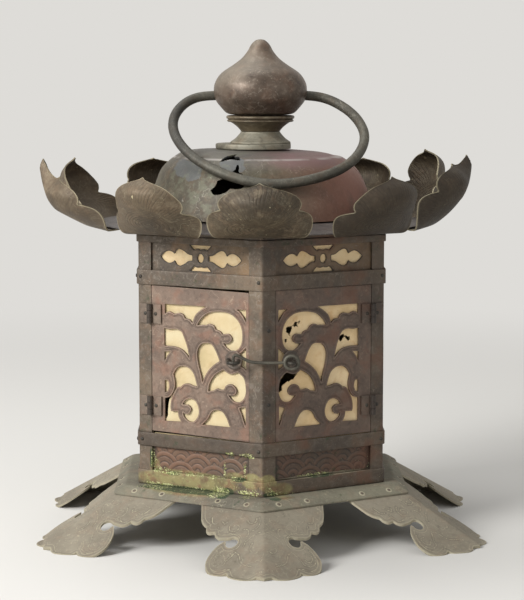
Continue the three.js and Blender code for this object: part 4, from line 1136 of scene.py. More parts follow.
def roofColours(f):
    # Olive at the left, red-brown at the right; grey where dust lies on what faces up, with a pink bloom on
    # the right of the top, blue-grey patches at the left and a painted highlight along the ridge of the
    # shoulder
    tone = roofTones
    x, y, z = f.axes()
    patch = f.noise(30, 5, 0.6, 0.4)
    right = (x * 10 + patch * 0.9 - 0.55).step(-0.12, 0.5)
    red = f.mix(patch.step(0.42, 0.6), tone['red'], tone['brown'])
    f.over(right * 0.8, f.mix(f.grain.step(0.5, 0.62) * 0.35, red, tone['rosy']))
    upward = f.facing()[2]
    high = z.step(0.2495, 0.2565)
    dust = (upward * 0.7 + patch * 0.5 - 0.25).step(0.35, 0.85) * (high * 0.5 + 0.2)
    f.over(dust, tone['dust'])
    f.over(high * x.step(-0.012, 0.02) * patch.step(0.3, 0.62) * 0.55, tone['bloom'])
    flake = f.noise(120, 4, 0.6)
    for acrossAt, upAt, halfX, halfZ in tone['patches']:
        oval = ovalOf(x - acrossAt, z - upAt, halfX, halfZ)
        f.over((oval + flake * 2.4 - 1.2).step(1.06, 0.94) * y.step(0.0, -0.01) * 0.6, tone['bare'])
    f.over((patch * 0.5 + flake * 0.5).step(0.52, 0.6) * x.step(0.01, -0.02) * 0.35, tone['olive'])
    # painted highlight: a thin bright line along the ridge where the top turns down into the shoulder
    shoulderHighlight = abs(z - tone['shoulderHighlight']).step(0.0009, 0.0002) * f.noise(60, 3, 0.5).step(0.34, 0.56)
    f.over(shoulderHighlight * upward.step(0.2, 0.5) * 0.6, tone['ridgeShine'])
    f.rough = f.rough + dust * 0.1


roofCopper = patina('roofCopper', roofLook, extra=(roofColours,))
brimCopper = patina('brimCopper', {**roofLook, 'base': '5d5754', 'dark': '45403d', 'pale': '87807c',
                                   'warm': '64534b'})
brimSet = {'inner': 72.0, 'outer': 114.0, 'slope': 0.103, 'thick': 1.0, 'edgeTop': 212.84, 'around': 144}


def brimSheet():
    # A ring that falls slope mm per mm outwards, with a rounded edge
    s = brimSet
    radius = np.linspace(s['inner'], s['outer'] - 0.5, 16)
    upper = np.column_stack([radius, s['edgeTop'] + s['slope'] * (s['outer'] - radius)])
    under = upper - (0, s['thick'])
    edge = [(s['outer'] - back, under[-1, 1] + up) for back, up in ((0.1, 0.2), (0, 0.5), (0.1, 0.8))]
    return turnedSurface(np.vstack([under, edge, upper[::-1]]), s['around'])


putMesh('brim_sheet', brimSheet(), brimCopper, ['roof_brim'])


domeSet = {
    'radius': 79.6, 'high': 45.4, 'thick': 1.2, 'sway': 0.25,
    # the profile at the left and at the right, where it is beaten lower, as shares of radius and height
    'left': [(1, 0), (0.967, 0.23), (0.917, 0.475), (0.88, 0.645), (0.85, 0.73), (0.805, 0.812),
        (0.735, 0.905), (0.66, 0.965), (0.5, 0.995), (0.06, 1)],
    'right': [(1, 0), (0.967, 0.23), (0.912, 0.475), (0.873, 0.615), (0.835, 0.71), (0.785, 0.79),
        (0.712, 0.878), (0.65, 0.9), (0.5, 0.955), (0.06, 1)],
    # where it is corroded through: azimuth in degrees and height in millimetres, taken at a middle radius;
    # near is where the sheet can be in reach of a hole: (middle along the round, half) and the lowest height
    'holeRadius': 76, 'fray': 0.3, 'near': ((-30, 32), (104, 12)), 'nearFrom': 228,
    'holes': [
        (-27.7, 238.2, -25.2, 241.4, -24.7, 244.3, -23, 245.4, -20.5, 246.6, -18.5, 248.6, -17.2, 250.3,
            -15.6, 252, -15.2, 254.6, -13.9, 254.6, -13.3, 251.6, -13, 250.2, -10.2, 248.8, -11.6, 246.6,
            -10.6, 243.6, -9.2, 241, -12.5, 239.4, -17, 239.4, -18.4, 237.4, -22.1, 235.5, -25.8, 235.4),
        (-27.4, 256.4, -26.6, 259, -24.4, 260.4, -20, 261.1, -19.4, 259.8, -16, 259.6, -14, 257.9,
            -16.6, 257.7, -20.2, 258.1, -23.6, 257.5),
        (81.5, 238, 82.2, 243, 80, 249.5, 76, 254.6, 75, 253.8, 79, 248.5, 81, 243),
    ],
}


def normalsOf(grid, wrap):
    # Outward normals of a grid of points: the product of its row and column directions
    alongRows = np.roll(grid, -1, 0) - np.roll(grid, 1, 0) if wrap else np.gradient(grid, axis=0)
    n = np.cross(alongRows, np.gradient(grid, axis=1))
    return n / np.maximum(np.linalg.norm(n, axis=-1, keepdims=True), 1e-9)


def domeSheet():
    # Profile left + (1 + sin azimuth) / 2 (right - left), from the foot to the rod hole; azimuths and steps
    # crowd where the holes are
    d = domeSet
    lines = [smoothRun([(d['radius'] * a, level['domeFoot'] + d['high'] * b) for a, b in d[side]], 24)
             for side in ('left', 'right')]
    reach = lengths(lines[0])
    total = reach[-1]
    steps = np.concatenate([[-0.6], np.linspace(0, 14, 9), np.arange(14.7, 62, 0.7),
                            np.linspace(63, total, 14), [total + 0.6]])
    left, right = [[np.interp(steps, reach, line[:, k]) for k in (0, 1)] for line in lines]
    azimuth = np.concatenate([np.arange(-38, -6, 0.5), np.linspace(-6, 72, 40, endpoint=False),
                              np.arange(72, 86, 0.6), np.linspace(86, 322, 112, endpoint=False)])
    aa = np.radians(azimuth)[:, None] + 0 * steps
    share = 0.5 + 0.5 * np.sin(aa)
    rr, zz = [low + share * (high - low) for low, high in zip(left, right)]
    front = uneven(aboutAxis(rr, aa, zz), d['sway'], 4)
    back = front - d['thick'] * normalsOf(front, True)
    perDegree = np.pi / 180 * d['holeRadius']
    flat = flatPoints(((np.degrees(aa) + 180) % 360 - 180) * perDegree, zz)
    edge = np.full(len(flat), 9.0)
    near = np.any([np.abs(flat[:, 0] - middle) < half for middle, half in d['near']], axis=0)
    near &= flat[:, 1] > d['nearFrom']
    for number, hole in enumerate(d['holes']):
        away = signedAway(flat[near], closedRun(hole) * (perDegree, 1))
        edge[near] = np.minimum(edge[near], away + ragged(flat[near], number, d['fray']))
    edge = edge.reshape(rr.shape)
    field = np.minimum(np.minimum(steps, total - steps), edge)
    return trimmedSheet(front, back, field, {'edge': np.clip(edge, 0, 9)}, wrap=True)


putMesh('dome_sheet', domeSheet(), roofCopper, ['roof_dome'])
print('brim and dome')


petalSet = {
    'count': 10, 'thick': 0.9, 'brim': 114.0, 'edgeUp': 210.64, 'cup': 23.0, 'leanOver': 29, 'cupOver': 34,
    'columns': 49, 'waver': 0.5, 'roll': 0.35, 'rollWide': 1.1, 'bendFrom': 15, 'bendOver': 9,
    # out from the brim's edge, up from it, and half the width, to the notch and then to the point
    'lower': [(-10, 1.03, 22), (0, 0, 24), (7, 1.2, 29.5), (15.5, 5.2, 32.6), (24, 10, 33.8),
        (30, 13.8, 33.4), (32.6, 16.4, 31.6), (33.8, 18, 28.6), (34.3, 18.8, 25.2)],
    'upper': [(34.9, 19.8, 25.3), (35.6, 21.4, 26.2), (36.1, 24, 26.4), (35.6, 26.6, 25), (34.2, 29.2, 21.8),
        (32.2, 31.4, 16.8), (30.4, 33, 11), (29, 34.3, 6), (28, 35.3, 2.6), (26.8, 36.6, 0.4)],
    'lean': [0, 6, 9, 22, 12, 12, 12, 3, -2, 10], 'turn': {9: 1.6, 0: -1.0, 1: 1.0},
    'tall': {2: 1.11, 3: 1.2, 7: 1.18, 9: 0.95},
    # where the notches sit in the side, as a share of where the others have them
    'notch': {9: 0.8, 1: 0.84, 3: 0.85, 7: 0.85},
    # an upper side that is bent out and up: (side, out, up)
    'bent': {2: (1, 8, 11), 8: (-1, 9, 18)},
}


def petalSheet(number):
    # Rows of half width, their sides drawn in towards the axis by share x^2 / (2 cup); lean turns them about
    # the brim, and a low roll follows the rim
    s = petalSet
    lean = math.radians(s['lean'][number])
    lower = smoothRun(s['lower'], 7)
    rows = np.vstack([lower, smoothRun([s['lower'][-1], *s['upper']], 7)[1:]])
    reach, up, half = rows.T
    up = up * s['tall'].get(number, 1)
    way = lengths(np.column_stack([reach, up]))
    notch = way[len(lower) - 1]
    moved = np.interp(way, [0, notch * s['notch'].get(number, 1), way[-1]], [0, notch, way[-1]])
    half = np.interp(moved, way, half)[:, None]
    angle = lean * np.clip(reach / s['leanOver'], 0, 1)
    out = (s['brim'] + reach * np.cos(angle) - np.maximum(up, 0) * np.sin(angle))[:, None]
    high = (s['edgeUp'] + reach * np.sin(angle) + up * np.cos(angle))[:, None]
    reach, up = reach[:, None], up[:, None]
    cup = np.clip(reach / s['cupOver'], 0, 1)
    across = np.sin(np.radians(np.linspace(-90, 90, s['columns'])))
    x = half * across
    arc = lengths(rows[:, :2])
    edge = np.minimum(half * (1 - np.abs(across)), (arc[-1] - arc)[:, None])
    free = np.clip((reach - 1) / 6, 0, 1)
    follow = (1 - cup) * brimSet['slope'] * (np.hypot(out, x) - out)
    roll = s['roll'] * np.exp(-(edge / s['rollWide']) ** 2)
    waver = free * (s['waver'] * wobble(x * 2, x + number * 9, high, number) + roll)
    side, bentOut, bentUp = s['bent'].get(number, (1, 0, 0))
    bent = np.clip(side * x / 20, 0, 1) ** 2 * np.clip((up - s['bendFrom']) / s['bendOver'], 0, 1)
    y = cup * x ** 2 / (2 * s['cup']) - out - waver - bentOut * bent
    front = np.stack([x, y, high - follow + bentUp * bent], axis=-1).transpose(1, 0, 2)
    points, faces, _ = sheetOf(front, front - s['thick'] * normalsOf(front, False))
    values = {'edge': edge, 'across': x, 'along': (arc - arc[8])[:, None] + 0 * x}
    values = {k: np.tile(v.T.ravel(), 2) for k, v in values.items()}
    return turnedTo((points, faces, values), 36 * number + s['turn'].get(number, 0))


petalLines = {'centreUp': 15, 'fan': 88, 'arcs': 3.1, 'flat': 0.55, 'tall': 1.5, 'inner': 15, 'outer': 18}


def petalCarving(f):
    # Fan lines: sine of the angle about a point low on the petal, outside an oval; arcs: sine of the distance
    # inside it; and the rim is rubbed bright
    edge, across, along = f.attribute('edge'), f.attribute('across'), f.attribute('along')
    s = petalLines
    up = along - s['centreUp']
    turn = up.sum('ARCTAN2', up, across)
    wander = f.noise(55, 3, 0.5)
    oval = (across * across * s['flat'] + (up - 3) * (up - 3) * s['tall']).root()
    outside = oval.step(s['inner'], s['outer'])
    worn = f.noise(90, 3, 0.6).step(0.34, 0.55)
    fan = (turn * s['fan'] + wander * 20).sine().step(0.1, 0.95) * outside * worn
    arcs = (oval * s['arcs'] + wander * 9).sine().step(0.1, 0.9) * (1 - outside) * (worn * 0.6 + 0.4)
    lines = (fan * 0.6).most(arcs * 0.8) * edge.step(1.0, 2.6)
    rim = edge.step(0.85, 0.2)
    return lines * -0.2 + rim * 0.1, lines * 0.5, rim * 0.75


petalLook = {
    'base': '5b4f3d', 'dark': '40372a', 'warm': '664e39', 'pale': '837a66', 'sootAndShade': '241f18', 'rubAndHighlight': '9f967c',
    'spots': 0.4, 'warmShare': 0.45, 'paleShare': 0.3, 'rough': 0.42, 'dent': 0.3, 'broad': 30,
}
petalTones = {'dusty': '8a7762', 'brown': '3a3227', 'grey': '8f8670', 'shade': '241b12', 'spot': 'c9bd97'}


def petalShade(f):
    # Painted shade on the right of the roof, less on the rims, and a paler brown on the left
    tone = petalTones
    x, y, _ = f.axes()
    patch = f.noise(40, 4, 0.55)
    right = (x * 8 + patch * 0.5 - 0.25).step(0.12, 0.5) * (y.step(0.02, -0.04) * 0.6 + 0.4)
    left = (x * -8 + patch * 0.5 - 0.25).step(0.1, 0.9)
    f.over(left * 0.2, tone['dusty'])
    f.over(patch.step(0.52, 0.66) * 0.45, tone['brown'])
    f.over(f.cloud.step(0.56, 0.7) * 0.3, tone['grey'])
    # painted shade on the right petals, lighter on their rims
    f.over(right * (0.68 - f.attribute('edge').step(0.9, 0.2) * 0.4), tone['shade'])
    f.over(f.noise(230, 2, 0.4).step(0.735, 0.76) * (1 - right) * 0.6, tone['spot'])


petalCopper = patina('petalCopper', petalLook, petalCarving, (petalShade,))
for number in range(petalSet['count']):
    name = str(number + 1)
    putMesh('lotus_petal_' + name, petalSheet(number), petalCopper, ['petal_' + name])
print('petals')


finialLook = {
    'base': '6d5f52', 'dark': '50443a', 'warm': '6e5444', 'pale': '958a7d', 'sootAndShade': '2a2320', 'rubAndHighlight': '9b9185',
    'spots': 0.4, 'warmShare': 0.45, 'paleShare': 0.28, 'metal': 0.5, 'rough': 0.27, 'dent': 0.14,
    'broad': 26,
}
jewelDustSheenTones = {'dust': '8d8779', 'speck': 'a59f8e'}


def jewelDustAndSheen(f):
    # Pale dust on what faces up and a painted sheen on what faces the left, towards the key lamp, in one
    # mask, with fine specks
    acrossWay, _, upWay = f.facing()
    # dust on the upper faces and painted sheen on the left-facing ones
    up = (upWay * 0.8 - acrossWay * 0.5 + f.cloud * 0.8 - 0.4).step(0.3, 0.95)
    f.over(up * 0.4, jewelDustSheenTones['dust'])
    f.over(f.noise(620, 3, 0.6).step(0.66, 0.7) * 0.3, jewelDustSheenTones['speck'])
    f.rough = f.rough + up * 0.12


jewelCopper = patina('jewelCopper', finialLook, extra=(jewelDustAndSheen,))
bellCopper = patina('bellCopper', {**finialLook, 'base': '908c7d', 'dark': '767161', 'warm': '8a7a64',
                                   'pale': 'aaa594', 'metal': 0.3, 'rough': 0.42})
collarCopper = patina('collarCopper', {**finialLook, 'base': '776a55', 'dark': '5a5040', 'warm': '6a5440',
                                       'pale': '99917c'})
finialSet = {
    'bore': 3.3, 'step': 31.0, 'neck': 13.7, 'collar': 24.3, 'jewel': 32.2, 'jewelHigh': 51.9, 'wall': 1.6,
    'bailBore': 3.75, 'gap': 0.3, 'broken': 1.54, 'around': 96, 'jewelAround': 176,
    # profiles as (radius, up from the foot): the step's radius is from its own, the bell's is in necks
    'stepLine': [(-0.5, 0), (0, 0.7), (0, 2.9), (-0.7, 3.5)],
    'bellLine': [(1.5, 3.7), (1.53, 4.1), (1.5, 4.8), (1.38, 5.9), (1.24, 7.4), (1.12, 9.2), (1.02, 10.8)],
    # the collar's radii are shares of its own
    'flareLine': [(0.65, 2.8), (0.75, 4.8), (0.85, 6.4)],
    'lipLine': [(0.91, 6.5), (0.945, 7), (0.945, 7.7), (0.915, 8.2), (0.93, 8.5), (0.965, 9), (0.97, 10.2)],
    # the jewel's are shares of its radius and height
    'jewelLine': [(0.5, 0), (0.71, 0.02), (0.86, 0.11), (0.966, 0.205), (1, 0.322), (0.966, 0.437),
        (0.832, 0.555), (0.562, 0.67), (0.394, 0.752), (0.272, 0.846), (0.196, 0.93), (0.1, 0.985), (0, 1)],
}


def bellProfile():
    # A low round step, then a bell that sweeps in from its lip to the neck
    s, foot, top = finialSet, level['domeTop'] + finialSet['gap'], level['bellTop']
    step = smoothRun([(s['step'] + a, foot + b) for a, b in s['stepLine']], 4)
    sweep = smoothRun([*((s['neck'] * a, foot + b) for a, b in s['bellLine']), (s['neck'], top)], 6)
    return np.vstack([[(s['bore'], foot)], step, sweep, [(s['bore'], top)]])


def brokenStep(shape):
    # The step keeps its width at the left and is broken back to the bell at the right: beyond the bell's lip
    # the radius shrinks by the share (1 + sin azimuth) / 2
    points, faces, values = shape
    radius = np.hypot(points[:, 0], points[:, 1])
    share = 0.5 + 0.5 * points[:, 0] / np.maximum(radius, 1)
    beyond = np.maximum(radius - finialSet['neck'] * finialSet['broken'], 0)
    scale = (radius - beyond * share ** 1.2) / np.maximum(radius, 1)
    return points * np.column_stack([scale, scale, np.ones(len(points))]), faces, values


def collarProfile():
    # A flared cup under a collar of two lips with a groove between them
    s, foot, top = finialSet, level['bellTop'] + finialSet['gap'], level['collarTop']
    r = s['collar']
    flare = [(s['neck'] - 0.2, foot), (s['neck'] + 0.3, foot + 0.8),
             *((r * a, foot + b) for a, b in s['flareLine'])]
    lips = [*((r * a, foot + b) for a, b in s['lipLine']), (r * 0.94, top - 0.2), (r * 0.9, top)]
    return np.vstack([[(s['bore'], foot)], smoothRun(flare, 5), smoothRun(lips, 5), [(s['bore'], top)]])


def jewelSheet():
    # A turned shell with a round hole at each side, kept where sqrt(y^2 + (z - pivot)^2) is over the bore
    s, low = finialSet, level['jewelFoot']
    line = smoothRun([(s['jewel'] * a, low + s['jewelHigh'] * b) for a, b in s['jewelLine']], 7)
    foot = np.array([(a, low) for a in np.linspace(s['bore'] - 0.5, line[0, 0], 7)[:-1]])
    r, z = np.vstack([foot, line]).T
    aa, rr = np.meshgrid(fullTurn(s['jewelAround']), r, indexing='ij')
    zz = np.broadcast_to(z, rr.shape)
    front = aboutAxis(rr, aa, zz)
    way = np.gradient(np.column_stack([r, z]), axis=0)
    way /= np.linalg.norm(way, axis=1, keepdims=True)
    innerR = np.maximum(r - s['wall'] * way[:, 1], 0)
    innerZ = z + s['wall'] * way[:, 0]
    innerR[-1], innerZ[-1] = 0, innerZ[-2] - 0.05
    back = aboutAxis(innerR + 0 * aa, aa, innerZ)
    field = np.hypot(front[..., 1], zz - level['bailPivot']) - s['bailBore']
    field = np.where(np.abs(front[..., 0]) < 10, 9, field)
    return trimmedSheet(front, back, np.minimum(field, np.maximum(rr - s['bore'], zz - low - 1)), wrap=True)


bell, collar = (turnedSurface(profile, finialSet['around']) for profile in (bellProfile(), collarProfile()))
putMesh('bell_base', brokenStep(bell), bellCopper, ['finial_base'])
putMesh('round_collar', collar, collarCopper, ['finial_collar'])
putMesh('lotus_jewel', jewelSheet(), jewelCopper, ['finial_jewel'], weld=True)
print('finial')


ironLook = {
    'base': '565349', 'dark': '403d35', 'warm': '5b4b3b', 'pale': '7a766a', 'sootAndShade': '201f1c', 'rubAndHighlight': '8b877b',
    'warmShare': 0.35, 'paleShare': 0.4, 'metal': 0.4, 'rough': 0.42, 'dent': 0.2, 'cloud': 140,
    'shade': '30302f', 'shadeFrom': (-0.035, -0.058),
}


def ironShade(f):
    # Darker at the far left of the loop than in front
    f.over(f.axes()[0].step(*ironLook['shadeFrom']) * 0.5, ironLook['shade'])


darkIron = patina('darkIron', ironLook, extra=(ironShade,))
blackIron = patina('blackIron', {**ironLook, 'base': '3f3b34', 'dark': '2c2925', 'warm': '4b3d30',
                                 'pale': '6d685c'})
bailSet = {
    'rod': 3.4, 'end': 24.0, 'straight': 33.0, 'thinned': 0.03, 'smoothings': 40, 'points': 240, 'around': 24,
    # the loop's middle line in its own plane: across, and away from the pivot
    'loop': [(-43.8, 1.2), (-53, 9.4), (-59.2, 23), (-59.6, 38.2), (-54.6, 53.3), (-45.2, 67.9),
        (-30.3, 81.6), (-13.2, 91), (3.8, 95.2), (20.8, 94.1), (37.9, 88.5), (53.1, 79.6), (64, 66.5),
        (69.7, 50.6), (69.4, 37), (63, 20.6), (52.4, 8.3), (42.6, 1.6)],
}


def bailRod():
    # The loop lies in a plane through the pivot, folded down as far as the solid's box says. Its points are
    # averaged with their neighbours over and over, with the ends held.
    s, low = bailSet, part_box('bail_ring')[0]
    fold = math.atan2(level['bailPivot'] - s['rod'] - low[2] / mm, -low[1] / mm - s['rod'])
    ends = [(-s['end'], 0), (-s['straight'], 0)]
    flat = along(smoothRun(ends + s['loop'] + [(-x, y) for x, y in ends[::-1]], 8), s['points'])
    for _ in range(s['smoothings']):
        flat[6:-6] = (flat[5:-7] + 2 * flat[6:-6] + flat[7:-5]) / 4
    line = np.column_stack([flat[:, 0], -flat[:, 1] * math.cos(fold),
                            level['bailPivot'] - flat[:, 1] * math.sin(fold)])
    radius = s['rod'] * (1 - s['thinned'] - s['thinned'] * wobble(*line.T, 3))
    return tubeSurface(line, (0, math.sin(fold), -math.cos(fold)), radius, s['around'])


putMesh('bail_rod', bailRod(), darkIron, ['bail_ring'], 'bail')


latchSet = {
    'level': 127.663, 'apart': 38.2, 'out': 97.98, 'rosette': 6.4, 'rosetteThick': 1.0, 'gap': 0.3,
    'staple': {'left': (3.3, 1.2), 'right': (1.7, 1.0)},
    'hookWire': 1.05, 'ring': 4.4, 'ringWire': 1.3, 'rise': 5.0, 'tipDown': 2.2, 'around': 14,
    'hookPoints': 70, 'staplePoints': 46, 'ringAround': 44, 'bossAround': 40,
    # a boss in shares of its radius and thickness
    'bossLine': [(0, 0), (0.8, 0), (0.93, 0.12), (0.995, 0.4), (1, 0.62), (0.94, 0.9), (0.85, 1),
                 (0.78, 0.86), (0.7, 0.8), (0.6, 0.95), (0.4, 1), (0, 1)],
    # the hook: shares of the way from ring to tip with heights in millimetres, then in rises from its tip
    'shank': [(0.37, -0.2), (0.68, 0.4)],
    'bend': [(1.3, 0.56), (0.4, 1), (0.04, 0.8), (0, 0.3)],
}


def bossAt(side):
    # How far across its door a boss sits, and how far out its face is
    face = wall['door'] + latchSet['gap'] + latchSet['rosetteThick']
    return (side * latchSet['apart'] / 2 - side * 0.5 * face) / cos30, face


def rosette(side):
    # A small boss: a turned disc with a rounded rim and a shallow groove, laid against its door
    s = latchSet
    u, face = bossAt(side)
    profile = [(s['rosette'] * a, s['rosetteThick'] * b) for a, b in s['bossLine']]
    points, faces, values = turnedSurface(profile, s['bossAround'])
    laid = np.column_stack([points[:, 0] + u, -points[:, 2] - (face - s['rosetteThick']),
                            points[:, 1] + s['level']])
    return turnedTo((laid, faces, values), 30 * side)


def staple(side, half, wire, loopCentre):
    # A wire that goes straight out, round a half circle and back
    s = latchSet
    x = side * s['apart'] / 2
    u, face = bossAt(side)
    foot = -(face * cos30 - side * u * 0.5) + s['rosetteThick'] / 2
    legEnds = [foot + leg * side * half * tan30 for leg in (-1, 1)]
    turn = np.linspace(0, np.pi, 15)
    bow = np.column_stack([x - half * np.cos(turn), -loopCentre - half * np.sin(turn)])
    path = np.vstack([[(x - half, legEnds[0])], [(x - half, (legEnds[0] - loopCentre) / 2)], bow,
                      [(x + half, (legEnds[1] - loopCentre) / 2)], [(x + half, legEnds[1])]])
    line = along(np.column_stack([path, np.full(len(path), s['level'])]), s['staplePoints'])
    return tubeSurface(line, (0, 0, 1), wire, s['around'])


def closedTube(centre, radius, wire, around, section):
    # A ring of wire that stands across the view: circle of circles
    a, b = fullTurn(around)[:, None], fullTurn(section)
    reach = radius + wire * np.cos(b)
    points = np.stack([centre[0] + reach * np.cos(a), centre[1] + wire * np.sin(b) + 0 * a,
                       centre[2] + reach * np.sin(a)], axis=-1)
    return points.reshape(-1, 3), gridFaces(around, section, True, True)[:, ::-1], {}


def hookWire():
    # From the ring along the shank, up over the bend and down into the staple, thinner at its end
    s = latchSet
    tip, ring, rise = -s['apart'] / 2, s['apart'] / 2, s['rise']
    path = [(ring - s['ring'], 0), *((ring - s['apart'] * a, b) for a, b in s['shank']),
            *((tip + rise * a, rise * b) for a, b in s['bend']), (tip, -s['tipDown'])]
    flat = along(smoothRun(path, 8), s['hookPoints'])
    line = np.column_stack([flat[:, 0], np.full(len(flat), -s['out']), s['level'] + flat[:, 1]])
    taper = s['hookWire'] * np.interp(np.linspace(0, 1, len(flat)), [0, 0.85, 1], [1, 1, 0.7])
    return tubeSurface(line, (0, 1, 0), taper, s['around'])


bossCopper = patina('bossCopper', {**doorLook, 'base': '62584e', 'dark': '4a423b', 'warmShare': 0.2},
                    extra=(rightShadeAndDust,))
tipHalf, tipWire = latchSet['staple']['left']
loopCentres = {
    'left': latchSet['out'] + latchSet['hookWire'] + latchSet['gap'] + tipWire - tipHalf,
    'right': latchSet['out'] + 2 * latchSet['hookWire'],
}
for name, side in sides:
    putMesh('latch_boss_' + name, rosette(side), bossCopper, ['latch_staple_' + name],
            name + '_door', weld=True)
    putMesh('staple_wire_' + name, staple(side, *latchSet['staple'][name], loopCentres[name]),
            blackIron, body=name + '_door')
ringCentre = (latchSet['apart'] / 2, -latchSet['out'], latchSet['level'])
hookRing = closedTube(ringCentre, latchSet['ring'], latchSet['ringWire'], latchSet['ringAround'],
                      latchSet['around'])
putMesh('hook_wire', joinedParts([hookRing, hookWire()]), darkIron, ['latch_hook'], 'latch_hook')
print('bail and latch')


rivetSet = {
    'small': (1.25, 0.55), 'rim': (1.35, 0.5), 'washer': (2.3, 0.22), 'hinge': (1.3, 0.5),
    'rimOut': 96.6, 'rimSteps': (12.2, 34.0), 'rimFacing': (0, -0.537, 0.844),
    # on the walls: (azimuth, across, height)
    'strapSpots': [
        *((a, 45.6, level[band + 'Band'][1] - down) for a in faceAzimuths
          for band, down in (('upper', 4.4), ('lower', 5.2))),
        (330, -45.4, level['upperBand'][1] - 4.6), (330, -45.0, level['lowerBand'][1] - 4.6),
    ],
    'postSpots': [(30, -43.0, 148.0), (30, -43.0, 98.7)],
    'leafOut': 84.05, 'leafAt': {'door': 33.6, 'post': 41.8}, 'leafUps': (92.163, 154.663),
}


def wallRivets(spots, outer, size):
    # Heads at (across, -outer, height), turned to each azimuth, and their normals with them
    places = np.vstack([aroundAxis([(u, -outer, z)], azimuth) for azimuth, u, z in spots])
    normals = np.vstack([aroundAxis([(0, -1, 0)], azimuth) for azimuth, _, _ in spots])
    return domes(places, normals, *rivetSet[size])


def rimRivets(size, around):
    # Four to a foot on the sloping rim, either side of its corner
    r, places, normals = rivetSet, [], []
    up = level['floor'] - baseSet['fall'] * (r['rimOut'] - baseSet['ledge']) - 0.1
    for azimuth in faceAzimuths:
        for side in (-1, 1):
            for step in r['rimSteps']:
                u = side * (r['rimOut'] * tan30 - step)
                places.append(aroundAxis((u, -r['rimOut'], up), azimuth))
                normals.append(aroundAxis(r['rimFacing'], azimuth))
    return domes(places, normals, *r[size], around=around)


strapHeads = wallRivets(rivetSet['strapSpots'], wall['strap'], 'small')
postHeads = wallRivets(rivetSet['postSpots'], wall['post'], 'small')
putMesh('strap_rivets', joinedParts([strapHeads, postHeads]), blackIron)
paleDust = patina('paleDust', {**dustLook, 'base': 'aaa48d', 'dark': '979079'})
darkDust = patina('darkDust', {**dustLook, 'base': '675c50', 'dark': '51483f', 'pale': '8d8474'})
putMesh('rim_washers', rimRivets('washer', 16), paleDust)
putMesh('rim_rivets', rimRivets('rim', 12), darkDust)
for name, side in sides:
    for body, part, slot in ((name + '_door', 'door', 'door_copper'), ('lantern', 'post', 'wall_copper')):
        spots = [(30 * side, side * rivetSet['leafAt'][part], z) for z in rivetSet['leafUps']]
        heads = wallRivets(spots, rivetSet['leafOut'], 'hinge')
        putMesh('hinge_rivets_' + body + '_' + name, heads, blackIron, body=body)
print('rivets')


bronzeLook = {
    'base': '6d5d40', 'dark': '4f4430', 'warm': '7a5c3a', 'pale': '8f8262', 'sootAndShade': '2b261c', 'rubAndHighlight': 'a3946e',
    'metal': 0.6, 'rough': 0.3,
}
dullBronze = patina('dullBronze', bronzeLook)
dishSet = {'radius': 32.0, 'high': 14.0, 'wall': 1.5, 'foot': 17.0, 'footHigh': 8.0, 'gap': 0.3, 'around': 72}


def standProfile():
    # A short ring with rounded rims, drawn in by 0.3 halfway up
    s, low = dishSet, level['floor'] + dishSet['gap']
    r, t, high = s['foot'], s['wall'], s['footHigh']
    return [(r - t, low), (r - 0.2, low), (r, low + 0.3), (r - 0.3, low + high / 2), (r, low + high - 0.3),
            (r - 0.2, low + high), (r - t, low + high), (r - t - 0.3, low + high / 2)]


def dishProfile():
    # A flat floor and a side that curves up, outside and inside
    s, low = dishSet, level['floor'] + dishSet['footHigh'] + 2 * dishSet['gap']
    r, high, t = s['radius'], s['high'], s['wall']
    outer = smoothRun([(r * 0.7, low), (r * 0.86, low + high * 0.2), (r * 0.95, low + high * 0.55),
                       (r, low + high - 0.3)], 5)
    inner = smoothRun([(r - t, low + high - 0.2), (r * 0.95 - t, low + high * 0.6),
                       (r * 0.84 - t, low + high * 0.26 + t / 2), (r * 0.68, low + t)], 5)
    return np.vstack([[(0, low)], outer, [(r - 0.5, low + high)], inner, [(0, low + t)]])


stand, dish = (turnedSurface(profile, dishSet['around']) for profile in (standProfile(), dishProfile()))
putMesh('dish_ring', stand, dullBronze, ['dish_stand'])
putMesh('shallow_dish', dish, dullBronze, ['oil_dish'], weld=True)


# Painted shade for the hinge barrels, and how far out they stand
knuckleShadeSet = {'dark': '24201d', 'out': (0.0846, 0.0853)}


def shadedKnuckle(f):
    # Painted shade on the barrel of a hinge, which lies in shadow: it stands out further, |x| sin30 - y
    # cos30, than its leaves
    x, y, _ = f.axes()
    f.over((abs(x) * 0.5 - y * cos30).step(*knuckleShadeSet['out']) * 0.75, knuckleShadeSet['dark'])


leafCopper = patina('leafCopper', {**doorLook, 'base': '786a5d', 'dark': '594d43', 'warmShare': 0.3},
                    extra=(rightShadeAndDust, shadedKnuckle))
# The solids that stay: hinge leaves, seat ring, paper lining, rod and nut
kept = {'paper_lining': oldPaper, 'roof_seat': wallCopper, 'finial_rod': dullBronze, 'rod_nut': dullBronze}
for leaf in ('hinge_door_leaf_', 'hinge_post_leaf_'):
    for spot in ('left_lower', 'left_upper', 'right_lower', 'right_upper'):
        kept[leaf + spot] = leafCopper
for node, finish in kept.items():
    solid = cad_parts[node]
    solid.data.materials.clear()
    solid.data.materials.append(finish)
print('kept solids finished')


stageSet = {
    'floor': 'd6d4cf', 'back': 'dedcd8', 'rough': 0.9, 'fade': (0.45, 1.3), 'radius': 6.0, 'corners': 64,
}


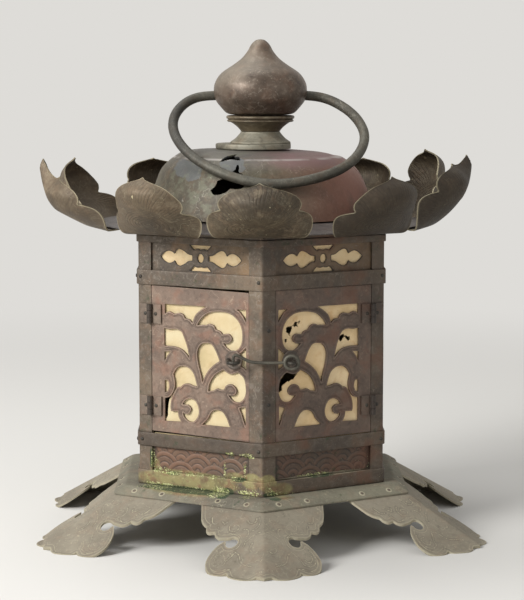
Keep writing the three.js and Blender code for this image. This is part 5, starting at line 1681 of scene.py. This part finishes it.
def paleGround():
    # Pale and plain near the lantern, where it takes the shadow; further out it fades to the backdrop
    f = Finish('paleGround')
    f.set(Base_Color=tint(stageSet['floor']), Roughness=stageSet['rough'])
    far = f.node('ShaderNodeVectorMath', {'operation': 'LENGTH'}, {0: f.at}, 'Value').step(*stageSet['fade'])
    glow = f.node('ShaderNodeEmission', values={'Color': tint(stageSet['back']), 'Strength': 1.0})
    f.show(f.node('ShaderNodeMixShader', values={0: far * f.seen(), 1: Wire(f, f.main.outputs[0]), 2: glow}))
    return f.material


def makeFloor():
    # A flat disc of many corners
    a = fullTurn(stageSet['corners'])
    rim = np.column_stack([stageSet['radius'] * np.cos(a), stageSet['radius'] * np.sin(a), 0 * a])
    mesh = bpy.data.meshes.new('floor')
    mesh.from_pydata(rim.tolist(), [], [list(range(stageSet['corners']))])
    mesh.materials.append(paleGround())
    floor = bpy.data.objects.new('floor', mesh)
    bpy.context.scene.collection.objects.link(floor)


makeFloor()


lightSet = {
    'world': 0.37, 'target': (0, 0, 0.17),
    # place in metres, size, energy in watts
    'lamps': {
        'key': ((-1.5, -1.15, 1.15), 1.0, 53.0), 'fill': ((1.3, -1.6, 0.9), 1.6, 5.0),
        'top': ((-0.4, 0.4, 1.9), 1.2, 13.0),
    },
}


def makeWorld():
    # White light on the things, and the background's colour for what is seen
    world = bpy.data.worlds.new('world')
    bpy.context.scene.world = world
    world.use_nodes = True
    w = Shader(world.node_tree, 'ShaderNodeOutputWorld')
    soft = w.node('ShaderNodeBackground', values={'Color': (1, 1, 1), 'Strength': lightSet['world']})
    pale = w.node('ShaderNodeBackground', values={'Color': tint(stageSet['back']), 'Strength': 1.0})
    w.show(w.node('ShaderNodeMixShader', values={0: w.seen(), 1: soft, 2: pale}))


def makeLamps():
    # Round lamps whose -Z is turned from their place to the target
    for name, (place, size, energy) in lightSet['lamps'].items():
        data = bpy.data.lights.new(name, 'AREA')
        data.shape, data.size, data.energy = 'DISK', size, energy
        lamp = bpy.data.objects.new(name, data)
        x, y, z = (t - p for t, p in zip(lightSet['target'], place))
        lamp.location = place
        lamp.rotation_euler = (math.atan2(math.hypot(x, y), -z), 0, math.atan2(-x, y))
        bpy.context.scene.collection.objects.link(lamp)


makeWorld()
makeLamps()
bpy.context.scene.view_settings.view_transform = 'Standard'
print('floor and lights')
